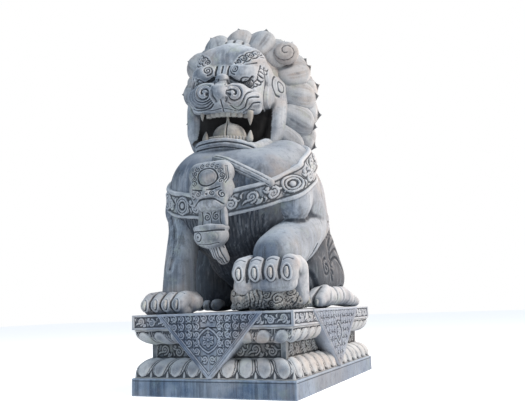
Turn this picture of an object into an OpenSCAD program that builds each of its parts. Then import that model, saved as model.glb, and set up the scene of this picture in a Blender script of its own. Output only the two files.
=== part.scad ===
// Seated guardian lion with its cub, carved in blue-grey stone, on a stepped
// lotus pedestal. Millimetres, +Z up, the lion looks along -Y.
// The origin is the middle of the plinth's underside.

/* [Pedestal] */
// Width of the plinth and of the base slab, left to right
base_w = 900; // [840:10:960]
// Depth of the plinth and of the base slab, front to back
base_d = 1330; // [1280:10:1400]
// Height of the plain plinth
plinth_h = 90; // [80:1:110]
// Height of the lower lotus course
lower_lotus_h = 82; // [76:1:90]
// Height of the recessed waist
waist_h = 92; // [80:1:110]
// Height of the upper lotus course
upper_lotus_h = 63; // [62:1:72]
// Height of the slab that the lion sits on
slab_h = 76; // [66:1:90]
// How far the waist stands back from the outer faces
waist_inset = 75; // [66:1:80]
// Half width of the hanging cloth on the front and back, along the slab's top
cloth_half_w = 300; // [260:5:320]
// Half width of the hanging cloth on the two long sides
cloth_half_d = 400; // [340:5:440]
// How far a cloth stands proud of the slab
cloth_proud = 6; // [4:0.5:8]

/* [Masonry] */
// Thickness of a mortar bed between two courses
bed_t = 3; // [2:0.5:5]
// How far the mortar is raked back from the face
bed_rake = 10; // [6:1:20]
// Radius of a steel dowel pin
dowel_r = 12; // [8:0.5:14]
// Length of a dowel pin
dowel_len = 54; // [40:1:54]
// Radial room for grout round a dowel pin
dowel_gap = 1; // [0.5:0.25:2]

/* [Lion] */
// Sideways place of the lion's middle, which leans away from the cub
lion_x = -22; // [-32:1:-12]
// Turn of the head towards the cub's side, in degrees
head_yaw = 11; // [7:1:14]
// Sideways tilt of the head, in degrees
head_roll = 5; // [3:1:7]
// Nod of the head, in degrees
head_nod = 4; // [2:1:6]
// Depth of the harness collar's relief on the chest
collar_t = 16; // [12:1:20]
// Width of the harness collar
collar_w = 128; // [110:1:140]
// Length of one mane lock from root to tip
lock_len = 105; // [95:1:115]

/* [Hidden] */

// Heights of the four beds, and of the slab's top
z1 = plinth_h;
z2 = z1 + lower_lotus_h;
z3 = z2 + waist_h;
z4 = z3 + upper_lotus_h;
top = z4 + slab_h;

stone = [0.55, 0.60, 0.66];
stone_light = [0.68, 0.71, 0.75];
stone_dark = [0.38, 0.43, 0.50];
round_fn = 32; // facets of small round stones

head_at = [lion_x - 48, -150, 1604];
paw_r_at = [-295, -520, top + 60];
paw_l_at = [272, -512, 612];

// ---------------------------------------------------------------- shapes

// Facets of a sphere inside a hull: more on a large one
function ball_fn(r) = r > 200 ? 18 : r > 90 ? 12 : r > 60 ? 10 : 8;
module ball(at, r) translate(at) sphere(r, $fn = ball_fn(r));

// A tapered round limb between two balls
module limb(a, ra, b, rb) hull() { ball(a, ra); ball(b, rb); }

// An ellipsoid: where, half sizes and turn
module egg(at, half, turn = [0, 0, 0])
    translate(at) rotate(turn) scale(half) sphere(1, $fn = 20);

// Two copies, one on each side of the plane x = 0
module both_sides() { children(); mirror([1, 0, 0]) children(); }

// Puts a shape that is drawn round the neck's centre where the turned head is
module head_pose() translate(head_at) rotate([head_nod, head_roll, head_yaw]) children();

// ---------------------------------------------------------------- pedestal

// Where the dowels stand in each bed
module at_dowels(inset = 150)
    for (sx = [-1, 1], sy = [-1, 1])
        translate([sx * (base_w / 2 - inset), sy * (base_d / 2 - inset - 40), 0]) children();

module dowel_holes(levels)
    at_dowels() for (z = levels)
        translate([0, 0, z - dowel_len / 2 - 1]) cylinder(h = dowel_len + 2, r = dowel_r + dowel_gap, $fn = round_fn);

// A flat-sided course between two bed levels
module course(z_low, z_high, inset, low_bed, high_bed)
    translate([-base_w / 2 + inset, -base_d / 2 + inset, z_low + low_bed])
        cube([base_w - 2 * inset, base_d - 2 * inset, z_high - z_low - low_bed - high_bed]);

// Points of a quarter round that starts upright at [0, 0] and leans in by r at height r
function quarter(r, steps = 10) = [for (i = [0:steps]) r * [1 - cos(i * 90 / steps), sin(i * 90 / steps)]];

// Profile of a lotus course across one direction: upright foot, then a quarter round up to the top
module ovolo(width, height) {
    r = min(waist_inset, height - 4);
    arc = [for (p = quarter(r)) [p[0] - width / 2, p[1] + height - r]];
    last = len(arc) - 1;
    polygon(concat([[-width / 2, 0]], arc, [for (i = [0:last]) [-arc[last - i][0], arc[last - i][1]]], [[width / 2, 0]]));
}

// The quarter round on all four sides, mitred at the corners
module lotus_block(height) intersection() {
    translate([0, base_d / 2, 0]) rotate([90, 0, 0]) linear_extrude(base_d) ovolo(base_w, height);
    translate([-base_w / 2, 0, 0]) rotate([90, 0, 90]) linear_extrude(base_w) ovolo(base_d, height);
}

// One hanging cloth: a triangle, from the slab's top to the plinth, that points down
module cloth_prism(half, thick)
    rotate([90, 0, 0]) linear_extrude(thick)
        polygon([[-half, top], [-10, z1 + bed_t / 2], [10, z1 + bed_t / 2], [half, top]]);

cloth_t = waist_inset + cloth_proud;
module place_front() translate([0, -base_d / 2 + waist_inset, 0]) children();
module place_back() rotate([0, 0, 180]) translate([0, -base_d / 2 + waist_inset, 0]) children();
module place_left() rotate([0, 0, 90]) translate([0, -base_w / 2 + waist_inset, 0]) children();
module place_right() rotate([0, 0, -90]) translate([0, -base_w / 2 + waist_inset, 0]) children();

module cloth_cutter() {
    place_front() cloth_prism(cloth_half_w, cloth_t);
    place_back() cloth_prism(cloth_half_w, cloth_t);
    place_left() cloth_prism(cloth_half_d, cloth_t);
    place_right() cloth_prism(cloth_half_d, cloth_t);
}

module plinth_block() color(stone) difference() {
    course(0, z1, 0, 0, bed_t / 2);
    dowel_holes([z1]);
}
module lower_lotus_course() color(stone_light) difference() {
    translate([0, 0, z1 + bed_t / 2]) lotus_block(lower_lotus_h - bed_t);
    cloth_cutter();
    dowel_holes([z1, z2]);
}
module waist_block() color(stone_dark) difference() {
    course(z2, z3, waist_inset, bed_t / 2, bed_t / 2);
    dowel_holes([z2, z3]);
}
module upper_lotus_course() color(stone_light) difference() {
    translate([0, 0, z4 - bed_t / 2]) mirror([0, 0, 1]) lotus_block(upper_lotus_h - bed_t);
    cloth_cutter();
    dowel_holes([z3, z4]);
}
module base_slab() color(stone) difference() {
    course(z4, top, 0, bed_t / 2, 0);
    cloth_cutter();
    dowel_holes([z4]);
}
module cloth_front() color(stone) place_front() cloth_prism(cloth_half_w, cloth_t);
module cloth_back() color(stone) place_back() cloth_prism(cloth_half_w, cloth_t);
module cloth_left() color(stone) place_left() cloth_prism(cloth_half_d, cloth_t);
module cloth_right() color(stone) place_right() cloth_prism(cloth_half_d, cloth_t);

module mortar_beds() color([0.75, 0.74, 0.70]) difference() {
    union() {
        for (bed = [[z1, bed_rake], [z2, waist_inset + bed_rake], [z3, waist_inset + bed_rake], [z4, bed_rake]])
            course(bed[0] - bed_t / 2, bed[0] + bed_t / 2, bed[1], 0, 0);
    }
    cloth_cutter();
    dowel_holes([z1, z2, z3, z4]);
}
module dowel_pins() color([0.7, 0.7, 0.72])
    at_dowels() for (z = [z1, z2, z3, z4])
        translate([0, 0, z - dowel_len / 2]) cylinder(h = dowel_len, r = dowel_r, $fn = round_fn);

// ---------------------------------------------------------------- body

// The trunk: deep chest in front, sloping back and broad seat. grow swells it for the collar.
module trunk(grow = 0) {
    g = grow;
    for (s = [-1, 1]) {
        hull() { ball([lion_x + s * 148, -265, 1066], 266 + g); ball([lion_x, -320, 1020], 252 + g); }
        hull() { ball([lion_x + s * 135, -250, 1000], 262 + g); ball([lion_x, -310, 860], 215 + g); }
        hull() { ball([lion_x + s * 148, -230, 1075], 268 + g); ball([lion_x + s * 172, 20, 1080], 240 + g); }
        hull() { ball([lion_x + s * 175, 20, 1060], 245 + g); ball([lion_x + s * 160, 150, 780], 245 + g); }
        hull() { ball([lion_x, -310, 860], 200 + g); ball([lion_x + s * 120, 190, 700], 230 + g); }
    }
    hull() { ball([lion_x, -200, 1120], 205 + g); ball([lion_x, -20, 1180], 215 + g); }
    hull() { ball([lion_x, 150, 660], 240 + g); ball([lion_x, 270, 650], 235 + g); }
}

module right_foreleg_form() {
    limb([-318, -285, 1045], 136, [-324, -305, 985], 131);
    limb([-324, -305, 985], 124, [-285, -400, 850], 108);
    limb([-285, -400, 850], 108, [-268, -480, 640], 96);
    limb([-268, -480, 640], 96, [-278, -478, 505], 96);
}
module left_foreleg_form() {
    limb([294, -250, 1060], 146, [312, -140, 965], 134);
    limb([312, -140, 965], 134, [332, -40, 885], 114);
    limb([332, -40, 885], 114, [314, -270, 790], 138);
    limb([314, -270, 790], 138, [290, -455, 680], 126);
}
// Broad paw with four toes, drawn round its own middle
module paw_form(half_w, toe_r) {
    hull() for (s = [-1, 1]) {
        ball([s * (half_w - 52), -10, 5], 52);
        ball([s * (half_w - 62), 60, 10], 56);
    }
    for (i = [0:3]) {
        x = (i - 1.5) * (2 * half_w - 2 * toe_r) / 3;
        limb([x, -50, 12], toe_r, [x, -88, -12], toe_r * 0.92);
        limb([x * 0.8, 20, 24], toe_r * 0.9, [x, -50, 12], toe_r);
    }
}
module right_fore_paw_form() translate(paw_r_at) paw_form(138, 42);
module left_fore_paw_form() translate(paw_l_at) rotate([8, 0, 6]) paw_form(172, 50);

module haunch_form(s) {
    knee = [lion_x + s * 268, -20, 618];
    hip = [lion_x + s * 262, 160, 790];
    rump = [lion_x + s * 266, 320, 590];
    limb(knee, 148, rump, 160);
    limb(knee, 140, hip, 152);
    limb(hip, 152, rump, 160);
    limb([knee[0], 0, 545], 118, [rump[0], 330, 520], 124);
}
module hind_paw_form(x) translate([x, -50, top + 58]) {
    hull() for (s = [-1, 1]) { ball([s * 34, 30, 0], 58); ball([s * 22, 520, -4], 56); }
    for (i = [0:3]) limb([(i - 1.5) * 50, -30, 4], 36, [(i - 1.5) * 56, -100, -18], 34);
}
left_hind_x = 318;
right_hind_x = -318;

// Keeps a form above the slab
module above_slab() intersection() {
    children();
    translate([-1000, -1000, top]) cube([2000, 2000, 2000]);
}

module forelegs_cutter() { right_foreleg_form(); left_foreleg_form(); }
module haunch_cutter() { haunch_form(-1); haunch_form(1); }

module torso() color(stone) above_slab() difference() {
    trunk();
    forelegs_cutter();
    haunch_cutter();
    jaw_and_throat_cutter();
}
module right_foreleg() color(stone) above_slab() difference() { right_foreleg_form(); right_fore_paw_form(); }
module left_foreleg() color(stone) difference() { left_foreleg_form(); left_fore_paw_form(); }
module right_fore_paw() color(stone_light) above_slab() right_fore_paw_form();
module left_fore_paw() color(stone_light) left_fore_paw_form();
module right_haunch() color(stone) above_slab() difference() { haunch_form(-1); hind_paw_form(right_hind_x); right_foreleg_form(); }
module left_haunch() color(stone) above_slab() difference() { haunch_form(1); hind_paw_form(left_hind_x); left_foreleg_form(); }
module right_hind_paw() color(stone_light) above_slab() hind_paw_form(right_hind_x);
module left_hind_paw() color(stone_light) above_slab() hind_paw_form(left_hind_x);

// One hooked claw that grips downwards
module claw(at, r = 13) translate(at)
    hull() { sphere(r, $fn = 6); translate([0, -14, -26]) sphere(r * 0.4, $fn = 5); }
module claws() color(stone_dark) difference() {
    union() {
        for (i = [0:3]) {
            translate(paw_r_at) claw([(i - 1.5) * 64, -130, -14]);
            translate(paw_l_at) rotate([8, 0, 6]) claw([(i - 1.5) * 80, -132, -14]);
            for (x = [left_hind_x, right_hind_x]) claw([x + (i - 1.5) * 56, -182, top + 30], 10);
        }
    }
    right_fore_paw_form();
    left_fore_paw_form();
    hind_paw_form(left_hind_x);
    hind_paw_form(right_hind_x);
}

// The tail is carved against the back: a root, then three flame-shaped tufts
module tail() color(stone) above_slab() difference() {
    union() {
        limb([lion_x, 500, 470], 70, [lion_x, 500, 560], 74);
        limb([lion_x, 500, 560], 74, [lion_x, 440, 760], 62);
        limb([lion_x, 440, 760], 64, [lion_x, 330, 960], 58);
        for (s = [-1, 0, 1]) {
            limb([lion_x + s * 50, 330, 930], 52, [lion_x + s * 105, 290, 1060 + (s == 0 ? 90 : 0)], 20);
            limb([lion_x + s * 30, 450, 780], 46, [lion_x + s * 120, 390, 880], 18);
        }
    }
    trunk();
    haunch_cutter();
}

// ---------------------------------------------------------------- harness

collar_mid = [lion_x, -470, 1012]; // the collar's middle on the breast
collar_tilt = 22;                  // it rises towards the nape
module collar_slab() translate(collar_mid) rotate([collar_tilt, 0, 0])
    translate([-700, -300, -collar_w / 2]) cube([1400, 1100, collar_w]);

module harness_collar() color(stone_light) difference() {
    intersection() { trunk(collar_t); collar_slab(); }
    trunk();
    right_foreleg_form();
    left_foreleg_form();
    haunch_cutter();
    mask_form();
}
mask_at = [lion_x + 3, -572, 1056];
module mask_form() translate(mask_at) {
    limb([-64, 14, 66], 68, [64, 14, 66], 68);
    limb([-58, 14, -20], 72, [58, 14, -20], 72);
    limb([-42, 6, -88], 52, [42, 6, -88], 52);
    limb([0, -8, 64], 58, [0, -8, 30], 54);
    limb([-44, -8, -48], 42, [44, -8, -48], 42);
}
module chest_mask() color(stone_light) difference() { mask_form(); trunk(); }
module strap_form() hull() {
    for (s = [-1, 1]) {
        ball([mask_at[0] + s * 60, -548, 905], 26);
        ball([mask_at[0] + s * 66, -548, 858], 26);
    }
}
module mask_strap() color(stone) difference() { strap_form(); trunk(); mask_form(); bell_form(); }
bell_at = [lion_x - 14, -545, 795];
module bell_form() {
    translate(bell_at) scale([1.05, 0.85, 0.72]) sphere(92, $fn = round_fn);
    translate(bell_at + [0, 0, 34]) scale([1, 0.8, 1]) cylinder(h = 12, r = 104, $fn = round_fn);
}
module bell() color(stone_light) difference() {
    bell_form();
    translate([lion_x - 300, -510, 600]) cube([600, 400, 400]);
}
module bell_tassel() color(stone) difference() {
    limb([lion_x, -520, 745], 42, [lion_x + 14, -470, 680], 30);
    trunk();
    bell_form();
}

// ---------------------------------------------------------------- head, round the neck's centre

module skull_form() {
    hull() { ball([-60, -90, 130], 192); ball([60, -90, 130], 192); }
    hull() { ball([-95, -172, 190], 120); ball([95, -172, 190], 120); ball([0, -155, 225], 118); }
    both_sides() {
        limb([150, -130, 40], 112, [160, -60, 60], 112);
        limb([150, -10, 20], 100, [150, 10, -190], 96);
    }
    hull() { ball([-70, 40, 30], 150); ball([70, 40, 30], 150); ball([-70, 40, -200], 140); ball([70, 40, -200], 140); }
}
module muzzle_form() {
    hull() { ball([-112, -235, 10], 78); ball([112, -235, 10], 78); ball([0, -268, 14], 68); }
    both_sides() {
        limb([62, -288, 2], 60, [134, -250, 0], 62);
        limb([134, -250, 0], 58, [176, -192, 2], 48);
    }
}
module nose_form() {
    hull() { ball([-34, -315, 30], 34); ball([34, -315, 30], 34); ball([0, -328, 16], 36); }
    limb([0, -256, 92], 34, [0, -306, 52], 38);
    both_sides() limb([50, -322, 8], 28, [64, -308, -2], 32);
}
module brow_form() both_sides() {
    limb([62, -268, 122], 40, [122, -250, 124], 52);
    limb([122, -250, 124], 50, [182, -198, 160], 36);
    limb([182, -198, 160], 36, [200, -150, 200], 26);
    limb([58, -272, 120], 34, [30, -274, 106], 20);
}
module eye_form() both_sides() egg([134, -262, 68], [46, 34, 34]);
module jowl_form() both_sides() {
    limb([240, -16, 118], 46, [256, -20, -10], 50);
    limb([256, -20, -10], 50, [252, -30, -150], 48);
    limb([252, -30, -150], 48, [226, -70, -262], 44);
}
module ear_form() both_sides() {
    limb([246, -12, 182], 30, [290, -8, 110], 24);
    limb([290, -8, 110], 24, [294, -8, 60], 14);
}
module tongue_form() {
    limb([0, -225, -195], 62, [0, -130, -190], 60);
    limb([-44, -210, -215], 42, [44, -210, -215], 42);
}
module jaw_form() {
    hull() for (s = [-1, 1]) { ball([s * 148, -250, -286], 42); ball([s * 55, -288, -276], 42); }
    hull() for (s = [-1, 1]) { ball([s * 155, -225, -296], 44); ball([s * 180, -40, -280], 60); }
    both_sides() limb([148, -250, -280], 36, [205, -100, -250], 40);
}
module upper_teeth_form() intersection() {
    hull() { ball([-85, -240, -72], 60); ball([85, -240, -72], 60); ball([0, -255, -72], 60); }
    translate([-300, -400, -106]) cube([600, 250, 46]);
}
module lower_teeth_form() intersection() {
    hull() { ball([-80, -215, -232], 60); ball([80, -215, -232], 60); ball([0, -238, -232], 60); }
    translate([-300, -400, -252]) cube([600, 250, 32]);
}
module upper_fang_form() both_sides() translate([140, -262, -144]) cylinder(h = 92, r1 = 3, r2 = 19, $fn = 24);
module lower_fang_form() both_sides() translate([134, -258, -262]) cylinder(h = 62, r1 = 18, r2 = 4, $fn = 24);

// Everything of the head that the chest makes room for
module jaw_and_throat_cutter() head_pose() { jaw_form(); skull_form(); jowl_form(); tongue_form(); }

module skull() color(stone) head_pose() difference() {
    skull_form();
    muzzle_form();
    brow_form();
    eye_form();
    jowl_form();
    jaw_form();
    tongue_form();
    nose_form();
    translate([-190, -420, -236]) cube([380, 320, 172]);
}
module brows() color(stone_light) head_pose() difference() { brow_form(); eye_form(); nose_form(); }
module eyes() color(stone_dark) head_pose() eye_form();
module muzzle() color(stone_light) head_pose() difference() { muzzle_form(); nose_form(); eye_form(); upper_fang_form(); jowl_form(); }
module nose() color(stone_light) head_pose() nose_form();
module upper_teeth() color(stone_light) head_pose() difference() { upper_teeth_form(); muzzle_form(); skull_form(); upper_fang_form(); }
module upper_fangs() color(stone_light) head_pose() upper_fang_form();
module tongue() color(stone) head_pose() difference() { tongue_form(); jaw_form(); }
module lower_jaw() color(stone) head_pose() difference() { jaw_form(); lower_fang_form(); jowl_form(); }
module lower_teeth() color(stone_light) head_pose() difference() { lower_teeth_form(); jaw_form(); lower_fang_form(); tongue_form(); }
module lower_fangs() color(stone_light) head_pose() lower_fang_form();
module jowls() color(stone) head_pose() jowl_form();
module ears() color(stone) head_pose() difference() { ear_form(); jowl_form(); skull_form(); }

// ---------------------------------------------------------------- mane

mane_mid = [62, 110, 66];
mane_half = [372, 250, 410];

// A point on the mane's core: lean is the angle back from the face, spin goes round the head
function mane_point(lean, spin, k = 1) = [
    mane_mid[0] + k * mane_half[0] * sin(lean) * sin(spin),
    mane_mid[1] - k * mane_half[1] * cos(lean),
    mane_mid[2] + k * mane_half[2] * sin(lean) * cos(spin)
];
module mane_core_form() {
    translate(mane_mid) scale(mane_half) sphere(1, $fn = 22);
    hull() { ball([-150, 30, 190], 150); ball([150, 30, 190], 150); ball([0, -40, 270], 150); }
}
// One ring of pointed locks, each rooted on the core and swept outwards
module lock_ring(lean, spins, sweep, size) for (a = spins) {
    root = mane_point(lean, a, 0.93);
    tip = mane_point(lean + sweep, a, 1) + lock_len * size * [sin(a) * 0.5, 0.2, cos(a) * 0.55];
    hull() {
        translate(root) sphere(74 * size, $fn = 8);
        translate(tip) sphere(18, $fn = 5);
    }
}
module front_lock_form() lock_ring(72, [-132:24:132], 6, 0.95);
module side_lock_form() lock_ring(102, [-144:24:144], 6, 0.95);
module back_lock_form() {
    lock_ring(132, [-150:30:150], 6, 0.8);
    lock_ring(156, [-150:50:150], 8, 0.75);
}
module head_cutter() {
    skull_form();
    brow_form();
    jowl_form();
    ear_form();
}
module mane_core() color(stone_dark) difference() {
    head_pose() difference() { mane_core_form(); head_cutter(); jaw_form(); }
    trunk();
    trunk(collar_t);
}
module mane_front_locks() color(stone) difference() {
    head_pose() difference() { front_lock_form(); mane_core_form(); head_cutter(); jaw_form(); }
    trunk(collar_t);
}
module mane_side_locks() color(stone) difference() {
    head_pose() difference() { side_lock_form(); front_lock_form(); mane_core_form(); head_cutter(); }
    trunk(collar_t);
}
module mane_back_locks() color(stone) difference() {
    head_pose() difference() { back_lock_form(); side_lock_form(); mane_core_form(); head_cutter(); }
    trunk(collar_t);
}
// Two short rows that lie on the nape, below the head
module nape_lock_form() for (row = [0, 1], i = [-2:2])
    limb([lion_x + i * 105, 168 + row * 40 - abs(i) * 22, 1270 - row * 110], 60,
         [lion_x + i * 120, 235 + row * 45 - abs(i) * 26, 1190 - row * 110], 14);
module nape_locks() color(stone) difference() {
    nape_lock_form();
    trunk(collar_t);
    head_pose() { mane_core_form(); back_lock_form(); side_lock_form(); }
}

// ---------------------------------------------------------------- cub, on its back under the left paw

module cub_body_form() {
    limb([215, -560, top + 62], 60, [330, -500, top + 66], 66);
    limb([330, -500, top + 66], 66, [375, -440, top + 58], 56);
}
module cub_head_form() {
    limb([150, -578, top + 72], 62, [166, -566, top + 76], 62);
    limb([142, -612, top + 52], 34, [160, -606, top + 56], 36);
}
module cub_foreleg_form() {
    limb([190, -600, top + 46], 26, [122, -618, top + 24], 20);
    limb([240, -590, top + 96], 26, [205, -618, top + 70], 22);
}
module cub_hind_leg_form() {
    limb([340, -520, top + 40], 40, [330, -590, top + 32], 26);
    limb([390, -430, top + 70], 40, [398, -370, top + 40], 34);
}
module cub_tail_form() limb([385, -400, top + 24], 24, [330, -330, top + 22], 16);
module cub_body() color(stone_light) above_slab() difference() { cub_body_form(); cub_head_form(); left_fore_paw_form(); }
module cub_head() color(stone_light) above_slab() difference() { cub_head_form(); left_fore_paw_form(); }
module cub_forelegs() color(stone_light) above_slab() difference() { cub_foreleg_form(); cub_body_form(); cub_head_form(); left_fore_paw_form(); }
module cub_hind_legs() color(stone_light) above_slab() difference() { cub_hind_leg_form(); cub_body_form(); left_fore_paw_form(); }
module cub_tail() color(stone_light) above_slab() difference() { cub_tail_form(); cub_hind_leg_form(); cub_body_form(); }

// ---------------------------------------------------------------- nodes

plinth_block();
lower_lotus_course();
waist_block();
upper_lotus_course();
base_slab();
cloth_front();
cloth_back();
cloth_left();
cloth_right();
mortar_beds();
dowel_pins();
torso();
right_foreleg();
left_foreleg();
right_fore_paw();
left_fore_paw();
right_haunch();
left_haunch();
right_hind_paw();
left_hind_paw();
claws();
tail();
harness_collar();
chest_mask();
mask_strap();
bell();
bell_tassel();
skull();
brows();
eyes();
muzzle();
nose();
upper_teeth();
upper_fangs();
tongue();
lower_jaw();
lower_teeth();
lower_fangs();
jowls();
ears();
mane_core();
mane_front_locks();
mane_side_locks();
mane_back_locks();
nape_locks();
cub_body();
cub_head();
cub_forelegs();
cub_hind_legs();
cub_tail();
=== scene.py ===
import math

import bmesh
import bpy
import numpy as np
from mathutils import Matrix, Vector
from mathutils.bvhtree import BVHTree
from mathutils.kdtree import KDTree


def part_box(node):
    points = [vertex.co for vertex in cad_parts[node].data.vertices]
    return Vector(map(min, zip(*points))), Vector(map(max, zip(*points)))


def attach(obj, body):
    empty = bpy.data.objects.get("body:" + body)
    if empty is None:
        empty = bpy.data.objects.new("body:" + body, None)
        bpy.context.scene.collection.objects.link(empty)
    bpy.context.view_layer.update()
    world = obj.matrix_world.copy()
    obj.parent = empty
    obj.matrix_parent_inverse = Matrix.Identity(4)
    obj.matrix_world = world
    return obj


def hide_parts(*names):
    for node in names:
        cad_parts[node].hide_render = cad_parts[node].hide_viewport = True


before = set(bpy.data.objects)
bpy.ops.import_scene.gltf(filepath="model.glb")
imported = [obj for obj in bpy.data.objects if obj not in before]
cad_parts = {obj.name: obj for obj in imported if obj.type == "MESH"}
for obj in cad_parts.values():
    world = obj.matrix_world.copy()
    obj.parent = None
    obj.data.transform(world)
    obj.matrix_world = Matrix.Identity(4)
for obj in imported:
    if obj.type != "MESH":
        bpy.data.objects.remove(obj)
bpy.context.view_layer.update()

# ---------------------------------------------------------------- camera, light and room
# A low camera off the lion's left shoulder, tipped up a little. A wide soft
# light stands on that side, with a cooler one in front and a white room round them.

camera_place = (1.480, -3.266, 0.420)
camera_turn, camera_rise, camera_roll = 24.117, 9.908, -2.152  # degrees


def turned(degrees, axis):
    return Matrix.Rotation(math.radians(degrees), 4, axis)


camera = bpy.data.objects.new("camera", bpy.data.cameras.new("camera"))
camera.data.lens = 41.14
camera.data.sensor_width = 36.0
camera.data.clip_end = 60.0
stand = Matrix.Translation(camera_place) @ turned(camera_turn, "Z")
camera.matrix_world = stand @ turned(90 + camera_rise, "X") @ turned(camera_roll, "Z")
bpy.context.scene.collection.objects.link(camera)
bpy.context.scene.camera = camera
bpy.context.scene.view_settings.view_transform = "Standard"


def soft_light(name, place, aim, size, watts, colour):
    light = bpy.data.objects.new(name, bpy.data.lights.new(name, "AREA"))
    light.data.size = size
    light.data.energy = watts
    light.data.color = colour
    light.location = place
    light.rotation_euler = (Vector(aim) - Vector(place)).to_track_quat("-Z", "Y").to_euler()
    bpy.context.scene.collection.objects.link(light)


soft_light("key_light", (3.6, -1.2, 4.6), (0, 0, 1.1), 1.6, 310, (1.0, 0.92, 0.84))
soft_light("front_light", (-2.4, -4.2, 4.2), (0, 0, 1.2), 2.4, 110, (0.84, 0.92, 1.0))
soft_light("back_light", (2.2, 4.2, 2.6), (0, 0, 1.3), 1.8, 230, (1.0, 0.82, 0.70))

world = bpy.data.worlds.new("white_room")
world.use_nodes = True
room = world.node_tree
room.nodes["Background"].inputs["Color"].default_value = (0.80, 0.90, 1.0, 1.0)
room.nodes["Background"].inputs["Strength"].default_value = 0.49
backdrop = room.nodes.new("ShaderNodeBackground")
backdrop.inputs["Color"].default_value = (1.0, 1.0, 1.0, 1.0)
seen = room.nodes.new("ShaderNodeMixShader")
room.links.new(room.nodes.new("ShaderNodeLightPath").outputs["Is Camera Ray"], seen.inputs[0])
room.links.new(room.nodes["Background"].outputs[0], seen.inputs[1])
room.links.new(backdrop.outputs[0], seen.inputs[2])
room.links.new(seen.outputs[0], room.nodes["World Output"].inputs[0])
bpy.context.scene.world = world


# ---------------------------------------------------------------- plinth
# The plain block that stands on the ground. Sawn on all sides, its faces are
# dressed with a chisel, and rain has drawn long streaks down them.


class Field:
    """A socket of a material, so that shader maths reads as plain expressions."""

    def __init__(self, shader, socket):
        self.shader = shader
        self.socket = socket

    def _maths(self, operation, first, second):
        return self.shader.node("Math", {"operation": operation}, {0: first, 1: second})

    def __add__(self, other):
        return self._maths("ADD", self, other)

    def __radd__(self, other):
        return self._maths("ADD", other, self)

    def __sub__(self, other):
        return self._maths("SUBTRACT", self, other)

    def __rsub__(self, other):
        return self._maths("SUBTRACT", other, self)

    def __mul__(self, other):
        return self._maths("MULTIPLY", self, other)

    def __rmul__(self, other):
        return self._maths("MULTIPLY", other, self)

    def between(self, low, high):
        """0 below low, 1 above high, and a straight rise between them."""
        settings = {"interpolation_type": "SMOOTHSTEP"}
        return self.shader.node(
            "MapRange", settings, {"Value": self, "From Min": low, "From Max": high}
        )


class Shader:
    """One material's nodes."""

    def __init__(self, name):
        self.material = bpy.data.materials.new(name)
        self.material.use_nodes = True
        self.tree = self.material.node_tree
        self.surface = self.tree.nodes["Principled BSDF"]

    def node(self, kind, settings, inputs, output=0):
        node = self.tree.nodes.new("ShaderNode" + kind)
        for key, value in settings.items():
            setattr(node, key, value)
        for key, value in inputs.items():
            if isinstance(value, Field):
                self.tree.links.new(value.socket, node.inputs[key])
            else:
                node.inputs[key].default_value = value
        return Field(self, node.outputs[output])

    def noise(self, place, scale, detail, roughness=0.6):
        inputs = {"Vector": place, "Scale": scale, "Detail": detail, "Roughness": roughness}
        return self.node("TexNoise", {}, inputs)

    def mix(self, factor, first, second, blend="MIX"):
        settings = {"data_type": "RGBA", "blend_type": blend}
        return self.node("Mix", settings, {0: factor, 6: first, 7: second}, 2)

    def set(self, socket, value):
        self.tree.links.new(value.socket, self.surface.inputs[socket])


def tint(colour, *by):
    """A colour times one factor, or times one each for red, green and blue."""
    return (*(c * w for c, w in zip(colour, by * 3 if len(by) == 1 else by)), 1.0)


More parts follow.
